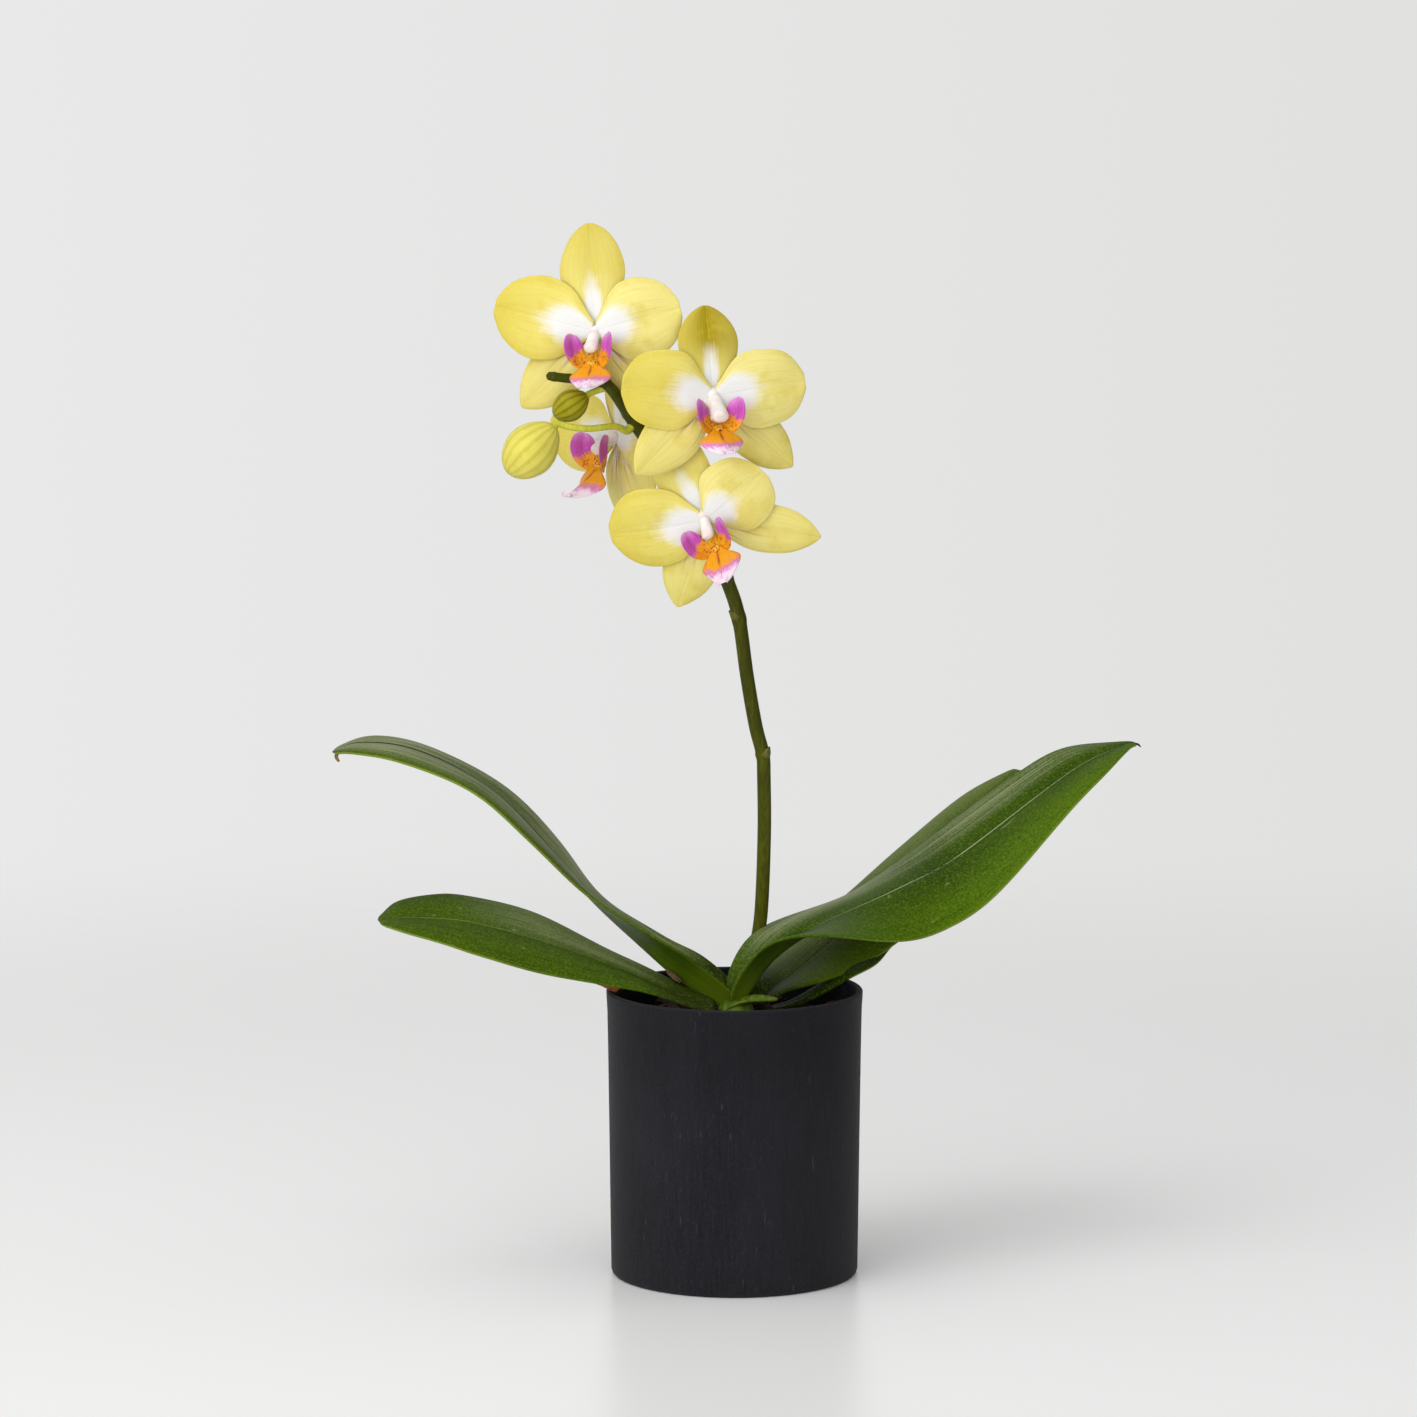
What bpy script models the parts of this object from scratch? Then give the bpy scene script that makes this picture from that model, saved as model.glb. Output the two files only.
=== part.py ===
"""A moth orchid in a straight-sided black pot: five leaves, one spike, four open flowers and two buds.

Sizes below are millimetres; MM turns them into Blender's metres where a mesh is made.
+X is to the right of the flowers' faces, -Y is the side that they face, and +Z is up.
The origin is the middle of the pot's underside.
"""

import math

import bmesh
import bpy
from mathutils import Euler, Vector

MM = 0.001
FORWARD = Vector((0, -1, 0))  # the way that a flower faces in its own frame

# Pot
POT_HEIGHT = 113.0
RIM_DIAMETER = 100.0
BASE_DIAMETER = 96.8
POT_WALL = 2.0
POT_FLOOR = 3.0
FOOT_RADIUS = 1.6  # round at the bottom edge
LIP_ROUND = 0.7
POT_SEGMENTS = 48

# What fills the pot
MIX_BELOW_RIM = 13.0
LUMP_HEIGHT = 1.5
GAP = 0.3  # between pieces that touch

# Crown, roots and trim
CROWN_RADIUS = 6.0
CROWN_HEIGHT = 8.0
ROOT_DIAMETER = 4.2
SHEATH_THICKNESS = 0.8
CHIP_SIZE = (15.0, 9.0, 4.0)
CHIP_LEAN = 20  # degrees down towards the outside

# Leaves
LEAF_THICKNESS = 1.4
LEAF_REACH = 1.0  # scales every leaf away from the pot's axis

# Spike
SPIKE_DIAMETER = 5.4
SPIKE_TIP_DIAMETER = 3.0
PEDICEL_DIAMETER = 2.4
BRACT_THICKNESS = 0.6

# Flowers
FLOWER_SPAN = 71.5  # across the two petals of the topmost flower
TEPAL_THICKNESS = 0.8
LIP_THICKNESS = 0.8
KNOB_RADIUS = 2.2  # where a pedicel ends and the flower's organs start
KNOB_PLACES = (6, 2, -2.4)  # along the flower's axis, from behind it
STALK_STEPS = 17
SPIKE_STEPS = 42
SEPAL_SETBACK = 1.2  # sepals sit behind the flower's plane, petals in front
PETAL_ADVANCE = 1.2

RIM_RADIUS = RIM_DIAMETER / 2
BASE_RADIUS = BASE_DIAMETER / 2
LAID_OUT_SPAN = 71.5  # the flower head below is laid out for flowers of this span
LAID_OUT_RIM = 50  # and the leaves for a rim of this radius
HEAD_SCALE = FLOWER_SPAN / LAID_OUT_SPAN
RIM_SCALE = RIM_RADIUS / LAID_OUT_RIM

# Each leaf's midrib from base to tip: x, y, height above the rim, half width, and how far the
# left and right halves lift from level, in degrees, seen from the base towards the tip.
LEAVES = {
    "leaf_upper_left": (
        (-8, 0, -4, 5, 62, 66),
        (-15, 1, 0, 8, 62, 62),
        (-26, 4, 7, 11, 50, 54),
        (-37, 8, 15, 12, 44, 26),
        (-56, 16, 32, 15, 23, -10),
        (-75, 24, 53, 19, 13, -7),
        (-97, 33, 74, 20, 6, -7),
        (-126, 44, 87.5, 17, -8, -4),
        (-147, 52, 89.5, 11, -13, 8),
        (-160, 57, 86, 1.5, -10, 10),
    ),
    "leaf_lower_left": (
        (-13, -7, -6, 4, -5, 26),
        (-20, -8, -3, 8, -5, 24),
        (-34, -11, 4, 12.5, -12, 22),
        (-48, -15, 11, 15, -26, 22),
        (-75, -25, 23, 19.5, -36, 31),
        (-100, -35, 31.5, 20, -33, 28),
        (-113, -40, 34, 17.5, -28, 27),
        (-125, -45, 35, 12.5, -22, 24),
        (-135, -48, 34.5, 1.5, -10, 10),
    ),
    "leaf_front_right": (
        (8, 0, -4, 5, 66, 68),
        (11, 2, 4, 9, 50, 52),
        (19, 6, 13.5, 15, 30, 26),
        (35, 14, 23.5, 19, 6, -8),
        (54, 25, 30, 22.5, 1, -32),
        (70, 35, 36, 24, 6, -36),
        (89, 47, 44, 24, 8, -28),
        (124, 67, 67, 20.5, 13, -12),
        (142, 77, 78, 14, 15, -14),
        (163, 88, 84, 1.5, 10, -10),
    ),
    "leaf_back_right": (
        (15, 9, -5, 4, 30, 20),
        (22, 19, -1, 10, 20, -2),
        (39.5, 42, 10, 17, 2, -10),
        (60, 64, 24, 22, -10, -18),
        (81, 85, 40, 20, -8, -22),
        (102, 104, 57, 13, -4, -20),
        (119, 119, 68, 1.5, 0, -10),
    ),
    "leaf_low_right": (
        (14, 7.5, -9, 2.5, 4, 0),
        (24, 12, -6, 5, 2, 2),
        (36, 18, -1.6, 8, 0, 8),
        (46, 24, 1.9, 9, 0, 1),
        (56, 34, 5, 9.5, -4, -4),
        (64, 46, 8.5, 7, -6, -10),
        (70, 58, 11, 1.5, 0, -6),
    ),
}

# The spike, from the crown to its tip: x, y and height above the rim.
SPIKE_PATH = (
    (4, 19, -11.5),
    (7.5, 20, 8),
    (10.5, 21, 26),
    (11.7, 15, 58),
    (11.5, 10, 82),
    (11, 8.5, 91.5),
    (8.2, 6, 103),
    (4.8, 2, 123),
    (1.6, -1, 146),
    (-2.6, -4, 160),
    (-11.9, -8, 182),
    (-24.3, -11, 203),
    (-35.6, -17, 219),
    (-43.6, -20.5, 231.5),
    (-47.5, -21.5, 236.8),
    (-51, -22.3, 239.4),
    (-57, -23, 240.6),
    (-64.7, -23.6, 241),
    (-72.3, -24.2, 242),
)
SPIKE_BASE = Vector(SPIKE_PATH[0])

# Each flower: centre (x, y, height above the rim); turn about Z, nod about X and roll about Y in
# degrees; and each organ's direction in the flower's plane (0 is right, 90 is up), its length,
# its greatest half width and how far its tip is swept back.
FLOWERS = {
    "flower_top": {
        "centre": (-53.7, -15, 258.4),
        "turn": (-4, -4, -13),
        "organs": {
            "dorsal_sepal": (91, 41.5, 13, 1),
            "lateral_sepal_left": (-139, 42, 11.5, 2.5),
            "lateral_sepal_right": (-50, 40, 11.5, 2.5),
            "petal_left": (161, 40, 16.5, 0.5),
            "petal_right": (12, 36, 16.5, 0.5),
        },
    },
    "flower_right": {
        "centre": (-8.5, -35, 235),
        "turn": (-4, -2, 13),
        "organs": {
            "dorsal_sepal": (89, 34.5, 12, 4),
            "lateral_sepal_left": (-138, 42, 11, 0.5),
            "lateral_sepal_right": (-41, 42, 10.5, 2.5),
            "petal_left": (166, 36, 15.5, 0.5),
            "petal_right": (6, 36.5, 15, 0.5),
        },
    },
    "flower_low": {
        "centre": (-11.2, -30, 187.5),
        "turn": (18, -27, -8),
        "organs": {
            "dorsal_sepal": (90, 39.5, 12, 8),
            "lateral_sepal_left": (-139, 41, 11, 2.5),
            "lateral_sepal_right": (-40, 44.5, 9.5, 2.5),
            "petal_left": (163, 38, 16.5, 0.5),
            "petal_right": (12, 32.5, 15.5, 0.5),
        },
    },
    "flower_back": {
        "centre": (-45.5, 15, 214.5),
        "turn": (-4, 0, -55),
        "organs": {
            "dorsal_sepal": (98, 39, 12.5, 4),
            "lateral_sepal_left": (-105, 33, 7.5, 9),
            "lateral_sepal_right": (-45, 35, 8, 1),
            "petal_left": (176, 38, 15.5, -3),
            "petal_right": (14, 31, 15, 1.5),
        },
    },
}

# Outline of an organ: share of its length, share of its greatest half width.
SEPAL_OUTLINE = ((0, 0.17), (0.12, 0.45), (0.3, 0.83), (0.52, 1), (0.75, 0.86), (0.92, 0.48), (1, 0.07))
PETAL_OUTLINE = ((0, 0.11), (0.1, 0.42), (0.25, 0.84), (0.45, 1), (0.7, 0.96), (0.9, 0.6), (1, 0.14))
SEPAL_CUP = -7  # edges bend back, degrees
PETAL_CUP = -5
ORGAN_START = 3.2  # distance of an organ's base from the flower's centre

# The lip and the column, in the flower's frame at its laid-out size: x, y, z, half width and
# the lift of the two halves; then the column's x, y, z, half width and half depth.
LIP_TONGUE = (
    (0, -3.6, -5.2, 1.6, 10, 10),
    (0, -5.2, -9.5, 2.4, 25, 25),
    (0, -8.5, -12.6, 3.2, 20, 20),
    (0, -13, -15, 7, -5, -5),
    (0, -18, -17.5, 4.4, -15, -15),
    (0, -22, -19, 0.8, 0, 0),
)
LIP_WING = (
    (1, -6.2, -10.8, 1.6, 0, 0),
    (4.2, -7.4, -9.6, 3, 0, 0),
    (7, -8.4, -6.4, 4, 0, 0),
    (7.8, -8.4, -3, 3.2, 0, 0),
    (7, -8, -0.8, 0.9, 0, 0),
)
COLUMN = (
    (0, -2.9, 0, 1.6, 1.5),
    (0, -5, -0.6, 2, 1.8),
    (0, -7.6, -2.2, 2.5, 2.1),
    (0, -9.2, -4.4, 2.2, 1.7),
    (0, -9.8, -6, 1, 0.8),
)

# Where a flower's stalk leaves the spike, counted in SPIKE_PATH's points, and the points that it
# passes on its way to the flower's back: x, y, height above the rim.
FLOWER_STALKS = {
    "flower_top": (12.6, ((-38.5, -8, 230), (-41, -3, 241), (-49, -4, 254))),
    "flower_right": (11.3, ((-23, -16, 212), (-15, -22, 224), (-11, -26, 232))),
    "flower_low": (9.6, ((-9.5, -12, 183), (-10.5, -17, 187))),
    "flower_back": (10.7, ((-20, -2, 202), (-25, 10, 207), (-34, 20, 211))),
}
# Each bud: where its stalk leaves the spike, the points that the stalk passes, the bud's base,
# the way that it points, its length and its greatest radius.
BUDS = {
    "bud_large": {
        "stalk": (12.3, ((-46, -23, 221.6), (-58, -28.5, 220.6), (-65, -28.5, 222.4))),
        "base": (-68.8, -27, 223),
        "way": (-17, 0, -17),
        "size": (26, 10.2),
    },
    "bud_small": {
        "stalk": (14.5, ()),
        "base": (-56.4, -20.8, 234.4),
        "way": (-12.2, -0.5, -7.6),
        "size": (15.5, 6.1),
    },
}
BUD_OUTLINE = ((0, 0.16), (0.1, 0.5), (0.3, 0.87), (0.55, 1), (0.78, 0.8), (0.92, 0.5), (1, 0.14))

# Each bract: its place on the spike, its side (1 is right) and its length; then its rows:
# share of the length, half width, and how far it stands off the spike.
BRACTS = {"bract_node": (5.0, 1, 9), "bract_upper": (8.0, -1, 8)}
BRACT_OUTLINE = ((0, 2.2, 0), (0.4, 2.4, 0.2), (0.8, 1.5, 0.8), (1, 0.3, 1.6))
BRACT_CLASP = -12  # degrees that each half bends round the spike

# The dry sheath, folded round the underside of the upper left leaf: x, y, height above the rim
# and half width.
SHEATH = ((-15, -5.6, 2.8, 1), (-19, -4.8, 4.2, 2.2), (-24, -2.8, 6.6, 2.2), (-29, -0.8, 10, 1))
SHEATH_FOLD = 55
# The surface roots: x, y and height above the bark.
ROOTS = {
    "root_left": ((-8, -9.5, 0), (-17, -17, 0.5), (-27, -21.5, 2.5), (-35, -18, 1)),
    "root_front": ((3, -9.5, 0), (10, -18, 1), (22, -25, 0.5), (33, -24, 0)),
}
ROOT_STEPS = 12
ROOT_TAPER = 0.35
CROWN_OUTLINE = ((0, 0.92), (0.4, 1), (0.75, 0.7), (1, 0.3))  # share of height, share of radius

COLOURS = {
    "pot": ((0.016, 0.015, 0.019), 0.6),
    "mix": ((0.07, 0.035, 0.018), 0.9),
    "chip": ((0.33, 0.13, 0.045), 0.85),
    "leaf": ((0.06, 0.13, 0.01), 0.35),
    "crown": ((0.09, 0.17, 0.02), 0.5),
    "root": ((0.42, 0.43, 0.3), 0.7),
    "sheath": ((0.5, 0.38, 0.2), 0.8),
    "spike": ((0.06, 0.06, 0.01), 0.5),
    "pedicel": ((0.42, 0.45, 0.07), 0.5),
    "bud": ((0.5, 0.47, 0.06), 0.5),
    "tepal": ((0.82, 0.7, 0.16), 0.5),
    "lip": ((0.75, 0.2, 0.3), 0.45),
    "column": ((0.85, 0.75, 0.66), 0.45),
}


def clear_scene():
    for thing in list(bpy.data.objects):
        bpy.data.objects.remove(thing, do_unlink=True)


def finish_for(kind):
    """The Principled material of one kind of piece."""
    known = bpy.data.materials.get(kind)
    if known:
        return known
    colour, roughness = COLOURS[kind]
    made = bpy.data.materials.new(kind)
    made.use_nodes = True
    shader = made.node_tree.nodes["Principled BSDF"]
    shader.inputs["Base Color"].default_value = (*colour, 1)
    shader.inputs["Roughness"].default_value = roughness
    shader.inputs["Metallic"].default_value = 0
    return made


def add_object(name, data, kind, parent=None):
    """Link an object; every piece has a material of its own."""
    piece = bpy.data.objects.new(name, data)
    bpy.context.scene.collection.objects.link(piece)
    finish = finish_for(kind).copy()
    finish.name = name
    data.materials.append(finish)
    piece.parent = parent
    return piece


def mesh_from(name, build):
    """A smooth-shaded mesh of what build(bm) adds, in millimetres, turned into metres."""
    mesh = bpy.data.meshes.new(name)
    bm = bmesh.new()
    build(bm)
    bmesh.ops.scale(bm, vec=(MM, MM, MM), verts=bm.verts)
    bmesh.ops.recalc_face_normals(bm, faces=bm.faces)
    bm.to_mesh(mesh)
    bm.free()
    mesh.shade_smooth()
    return mesh


def smooth(points, count):
    """count points along a Catmull-Rom curve through points of any dimension."""
    ends = run_on(points)
    spacing = (len(points) - 1) / (count - 1)
    return [curve_at(ends, step * spacing) for step in range(count)]


def curve_at(ends, place):
    """The point at a place counted in points, on a curve whose list has one extra point each end."""
    i = min(int(place), len(ends) - 4)
    u = place - i
    row = []
    for a, b, c, d in zip(ends[i], ends[i + 1], ends[i + 2], ends[i + 3]):
        squared = (2 * a - 5 * b + 4 * c - d) * u**2
        cubed = (3 * b - a - 3 * c + d) * u**3
        row.append(b + 0.5 * ((c - a) * u + squared + cubed))
    return row


def run_on(points):
    """The points of a curve with one more at each end, straight on, as curve_at needs."""
    first = [2 * a - b for a, b in zip(points[0], points[1])]
    last = [2 * a - b for a, b in zip(points[-1], points[-2])]
    return [first, *points, last]


def blade_grid(bm, rows, up, columns):
    """A sheet lofted along rows of (x, y, z, half width, left lift, right lift)."""
    middles = [Vector(row[:3]) for row in rows]
    lines = []
    for i, row in enumerate(rows):
        along = (middles[min(i + 1, len(rows) - 1)] - middles[max(i - 1, 0)]).normalized()
        right = along.cross(up).normalized()
        out = right.cross(along)
        line = []
        for k in range(-columns, columns + 1):
            share = k / columns
            lift = math.radians(row[5] if k > 0 else row[4])
            across = right * share * math.cos(lift) + out * abs(share) * math.sin(lift)
            line.append(bm.verts.new(middles[i] + across * row[3]))
        lines.append(line)
    for near, far in zip(lines, lines[1:]):
        for k in range(2 * columns):
            bm.faces.new((near[k], near[k + 1], far[k + 1], far[k]))


def blade(name, rows, thickness, kind, count, up=Vector((0, 0, 1)), parent=None, columns=2):
    """A leaf, petal or scale: a lofted sheet with its thickness from Solidify."""
    mesh = mesh_from(name, lambda bm: blade_grid(bm, smooth(rows, count), up, columns))
    piece = add_object(name, mesh, kind, parent)
    wall = piece.modifiers.new("thickness", "SOLIDIFY")
    wall.thickness = thickness * MM
    wall.offset = 0
    return piece


def ring_loft(bm, rows, sides, sideways=Vector((1, 0, 0))):
    """A closed round body through rows of (x, y, z, half width, half depth)."""
    middles = [Vector(row[:3]) for row in rows]
    rings = []
    for i, row in enumerate(rows):
        along = (middles[min(i + 1, len(rows) - 1)] - middles[max(i - 1, 0)]).normalized()
        deep = along.cross(sideways).normalized()
        wide = deep.cross(along)
        ring = []
        for k in range(sides):
            angle = 2 * math.pi * k / sides
            out = wide * row[3] * math.cos(angle) + deep * row[4] * math.sin(angle)
            ring.append(bm.verts.new(middles[i] + out))
        rings.append(ring)
    for low, high in zip(rings, rings[1:]):
        for k in range(sides):
            bm.faces.new((low[k], low[(k + 1) % sides], high[(k + 1) % sides], high[k]))
    bm.faces.new(rings[0])
    bm.faces.new(rings[-1])


def cord(name, points, radii, kind, sides=2):
    """A round stalk through points, its radius given at each point, with flat ends."""
    curve = bpy.data.curves.new(name, "CURVE")
    curve.dimensions = "3D"
    curve.bevel_depth = MM
    curve.bevel_resolution = sides
    curve.use_fill_caps = True
    line = curve.splines.new("POLY")
    line.points.add(len(points) - 1)
    for spot, place, radius in zip(line.points, points, radii):
        spot.co = (*(Vector(place) * MM), 1)
        spot.radius = radius
    return add_object(name, curve, kind)


def above_rim(point):
    """A point of the flower head, scaled about the spike's base, at its height in the pot's frame."""
    place = SPIKE_BASE + (Vector(point) - SPIKE_BASE) * HEAD_SCALE
    return place + Vector((0, 0, POT_HEIGHT))


def inner_radius(height):
    """The pot's inner radius at a height above its underside."""
    share = height / POT_HEIGHT
    return BASE_RADIUS + (RIM_RADIUS - BASE_RADIUS) * share - POT_WALL


def make_pot():
    """A turned cup: outer wall with a rounded foot, a rounded lip, and an inner wall."""
    turn = math.radians(30)
    profile = [(0, 0), (BASE_RADIUS - FOOT_RADIUS, 0)]
    for step in range(1, 4):
        x = BASE_RADIUS - FOOT_RADIUS + FOOT_RADIUS * math.sin(step * turn)
        profile.append((x, FOOT_RADIUS - FOOT_RADIUS * math.cos(step * turn)))
    profile.append((RIM_RADIUS, POT_HEIGHT - LIP_ROUND))
    profile.append((RIM_RADIUS - LIP_ROUND, POT_HEIGHT))
    profile.append((RIM_RADIUS - POT_WALL + LIP_ROUND * 0.5, POT_HEIGHT))
    profile.append((RIM_RADIUS - POT_WALL, POT_HEIGHT - LIP_ROUND))
    profile.append((inner_radius(POT_FLOOR), POT_FLOOR))
    profile.append((0, POT_FLOOR))

    def build(bm):
        spots = [bm.verts.new((x, 0, z)) for x, z in profile]
        edges = [bm.edges.new(pair) for pair in zip(spots, spots[1:])]
        bmesh.ops.spin(
            bm, geom=spots + edges, cent=(0, 0, 0), axis=(0, 0, 1), angle=2 * math.pi,
            steps=POT_SEGMENTS, use_merge=True,
        )
        bmesh.ops.remove_doubles(bm, verts=bm.verts, dist=0.001)

    mesh = mesh_from("pot", build)
    mesh.set_sharp_from_angle(angle=math.radians(50))
    return add_object("pot", mesh, "pot")


def mix_level(x, y):
    """Height of the potting mix above the pot's underside, lumpy away from the crown."""
    lumps = math.sin(0.37 * x + 1.3) * math.cos(0.31 * y - 0.4) + 0.5 * math.sin(0.71 * (x - y))
    fade = min(1, max(0, (math.hypot(x, y) - 2.5 * CROWN_RADIUS) / CROWN_RADIUS))
    return POT_HEIGHT - MIX_BELOW_RIM - LUMP_HEIGHT * (1 - fade * lumps) / 2


def make_mix():
    """The bark and its roots, as one body that fills the pot up to its lumpy top."""
    segments = 32
    top = POT_HEIGHT - MIX_BELOW_RIM - LUMP_HEIGHT
    rings_in = (0.97, 0.78, 0.58, 0.38, 0.18)

    def ring(bm, radius, level):
        found = []
        for k in range(segments):
            angle = 2 * math.pi * k / segments
            x, y = radius * math.cos(angle), radius * math.sin(angle)
            found.append(bm.verts.new((x, y, level(x, y))))
        return found

    def build(bm):
        low = POT_FLOOR + GAP
        wide = inner_radius(top) - GAP
        shrink = math.cos(math.pi / POT_SEGMENTS)  # the faceted wall's flats are nearer the axis
        rings = [ring(bm, (inner_radius(low) - GAP) * shrink, lambda x, y: low)]
        rings.append(ring(bm, wide * shrink, lambda x, y: top - LUMP_HEIGHT))
        rings += [ring(bm, wide * shrink * share, mix_level) for share in rings_in]
        for outer, inner in zip(rings, rings[1:]):
            for k in range(segments):
                n = (k + 1) % segments
                bm.faces.new((outer[k], outer[n], inner[n], inner[k]))
        bm.faces.new(rings[0])
        bm.faces.new(rings[-1])

    return add_object("potting_mix", mesh_from("potting_mix", build), "mix")


def make_crown():
    """The short stem that the leaves grow from."""
    base = mix_level(0, 0) + GAP
    rows = []
    for up, wide in CROWN_OUTLINE:
        rows.append((0, 0, base + CROWN_HEIGHT * up, CROWN_RADIUS * wide, CROWN_RADIUS * wide))
    mesh = mesh_from("crown", lambda bm: ring_loft(bm, rows, 12))
    return add_object("crown", mesh, "crown")


def make_leaves():
    for name, rows in LEAVES.items():
        reach = RIM_SCALE * LEAF_REACH
        placed = [(x * reach, y * reach, z + POT_HEIGHT, *rest) for x, y, z, *rest in rows]
        blade(name, placed, LEAF_THICKNESS, "leaf", 17)


def make_trim():
    """Surface roots, the dry sheath under the upper leaf, and a chip of bark on the rim."""
    radius = ROOT_DIAMETER / 2
    floor = POT_HEIGHT - MIX_BELOW_RIM + LUMP_HEIGHT / 2 + radius + GAP
    taper = [radius * (1 - ROOT_TAPER * i / (ROOT_STEPS - 1)) for i in range(ROOT_STEPS)]
    for name, points in ROOTS.items():
        path = [(x * RIM_SCALE, y * RIM_SCALE, floor + z) for x, y, z in smooth(points, ROOT_STEPS)]
        cord(name, path, taper, "root")
    rows = []
    for x, y, z, half in SHEATH:
        rows.append((x * RIM_SCALE, y * RIM_SCALE, z + POT_HEIGHT, half, -SHEATH_FOLD, SHEATH_FOLD))
    blade("dry_sheath", rows, SHEATH_THICKNESS, "sheath", 7)
    make_chip()


def make_chip():
    """A chip of bark that leans over the rim on the left, with three tenths of it outside."""
    corner = 0.6

    def build(bm):
        bmesh.ops.create_cube(bm, size=1)
        bmesh.ops.scale(bm, vec=CHIP_SIZE, verts=bm.verts)
        for vertex in bm.verts:
            if vertex.co.x < 0:
                vertex.co.y *= 0.6
        bmesh.ops.bevel(bm, geom=bm.edges, offset=corner, segments=1, affect="EDGES")

    chip = add_object("bark_chip", mesh_from("bark_chip", build), "chip")
    length, _, thick = CHIP_SIZE
    lean = math.radians(CHIP_LEAN)
    rest = POT_HEIGHT + GAP + thick / 2 / math.cos(lean) + POT_WALL * math.tan(lean) / 2
    chip.location = Vector((-(RIM_RADIUS - POT_WALL / 2), 3, rest)) * MM
    chip.rotation_euler = (0, lean, math.radians(-8))
    chip.location -= Vector((-math.cos(lean), 0, math.sin(lean))) * length * 0.3 * MM


def spike_radius(place):
    """Even up to the lowest flower's stalk, then thinner towards the tip."""
    last = len(SPIKE_PATH) - 1
    share = max(0, (place - last / 2) / (last - last / 2))
    return (SPIKE_DIAMETER * (1 - share) + SPIKE_TIP_DIAMETER * share) / 2


def spike_point(place):
    return above_rim(curve_at(run_on(SPIKE_PATH), place))


def make_spike():
    last = len(SPIKE_PATH) - 1
    places = [step * last / SPIKE_STEPS for step in range(SPIKE_STEPS + 1)]
    points = [spike_point(place) for place in places]
    cord("flower_spike", points, [spike_radius(place) for place in places], "spike")


def make_bracts():
    """Small scales that clasp the spike below its nodes."""
    for name, (place, side, length) in BRACTS.items():
        base = spike_point(place)
        along = (spike_point(place + 0.2) - base).normalized()
        out = Vector((side, -0.4, 0)).normalized()
        off = spike_radius(place) + GAP + BRACT_THICKNESS
        rows = []
        for share, half, spread in BRACT_OUTLINE:
            middle = base + along * length * share + out * (off + spread)
            rows.append((*middle, half, BRACT_CLASP, BRACT_CLASP))
        blade(name, rows, BRACT_THICKNESS, "spike", 5, up=out, columns=1)


def organ_rows(angle, length, half, sweep, outline, plane, cup):
    """Rows of a petal or sepal that leaves the flower's centre in its plane."""
    way = Vector((math.cos(math.radians(angle)), 0, math.sin(math.radians(angle))))
    rows = []
    for share, width in outline:
        out = ORGAN_START + (length * HEAD_SCALE - ORGAN_START) * share
        middle = way * out + Vector((0, plane + sweep * HEAD_SCALE * share**2, 0))
        rows.append((*middle, half * HEAD_SCALE * width, cup, cup))
    return rows


def make_lip(name, parent):
    """The lip: a tongue with a wing each side of the column, made one body."""
    def scaled(rows, side=1):
        size = HEAD_SCALE
        return [(side * x * size, y * size, z * size, w * size, a, b) for x, y, z, w, a, b in rows]

    lip = blade(name, scaled(LIP_TONGUE), LIP_THICKNESS, "lip", 9, FORWARD, parent)
    for side in (-1, 1):
        inward = Vector((-side, -0.8, 0))
        rows = scaled(LIP_WING, side)
        wing = blade(f"{name}_wing", rows, LIP_THICKNESS, "lip", 7, inward, parent, columns=1)
        wing.hide_render = True
        wing.display_type = "WIRE"
        join = lip.modifiers.new("wing", "BOOLEAN")
        join.operation = "UNION"
        join.object = wing
    return lip


def make_flower(name, plan):
    holder = bpy.data.objects.new(name, None)
    bpy.context.scene.collection.objects.link(holder)
    holder.location = above_rim(plan["centre"]) * MM
    holder.rotation_mode = "YXZ"
    holder.rotation_euler = [math.radians(a) for a in plan["turn"]]
    for organ, (angle, length, half, sweep) in plan["organs"].items():
        petal = organ.startswith("petal")
        outline = PETAL_OUTLINE if petal else SEPAL_OUTLINE
        plane = -PETAL_ADVANCE if petal else SEPAL_SETBACK
        cup = PETAL_CUP if petal else SEPAL_CUP
        rows = organ_rows(angle, length, half, sweep, outline, plane, cup)
        blade(f"{name}_{organ}", rows, TEPAL_THICKNESS, "tepal", 9, FORWARD, holder)
    make_lip(f"{name}_lip", holder)
    rows = [tuple(v * HEAD_SCALE for v in row) for row in COLUMN]
    mesh = mesh_from(f"{name}_column", lambda bm: ring_loft(bm, rows, 8))
    add_object(f"{name}_column", mesh, "column", holder)


def leave_spike(place, toward):
    """Two points straight out of the spike's side, on the side of the point toward."""
    middle = spike_point(place)
    along = (spike_point(place + 0.1) - middle).normalized()
    out = Vector(toward) - middle
    out = (out - along * out.dot(along)).normalized()
    clear = spike_radius(place) + GAP
    return [middle + out * clear, middle + out * (clear + PEDICEL_DIAMETER)]


def make_flower_stalk(name, place, passing, plan):
    """A pedicel, which swells into the knob that the flower's organs grow round."""
    turn = Euler([math.radians(a) for a in plan["turn"]], "YXZ")
    centre = above_rim(plan["centre"])
    via = [above_rim(point) for point in passing]
    knob = [centre + turn.to_matrix() @ Vector((0, y * HEAD_SCALE, 0)) for y in KNOB_PLACES]
    points = smooth(leave_spike(place, via[0]) + via + knob, STALK_STEPS)
    thin = PEDICEL_DIAMETER / 2
    swollen = STALK_STEPS - 5  # the last steps widen into the knob
    swell = [min(1, max(0, step - swollen) / 3) for step in range(STALK_STEPS)]
    radii = [thin + (KNOB_RADIUS - thin) * share for share in swell]
    cord(f"{name}_pedicel", points, radii, "pedicel")


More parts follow.
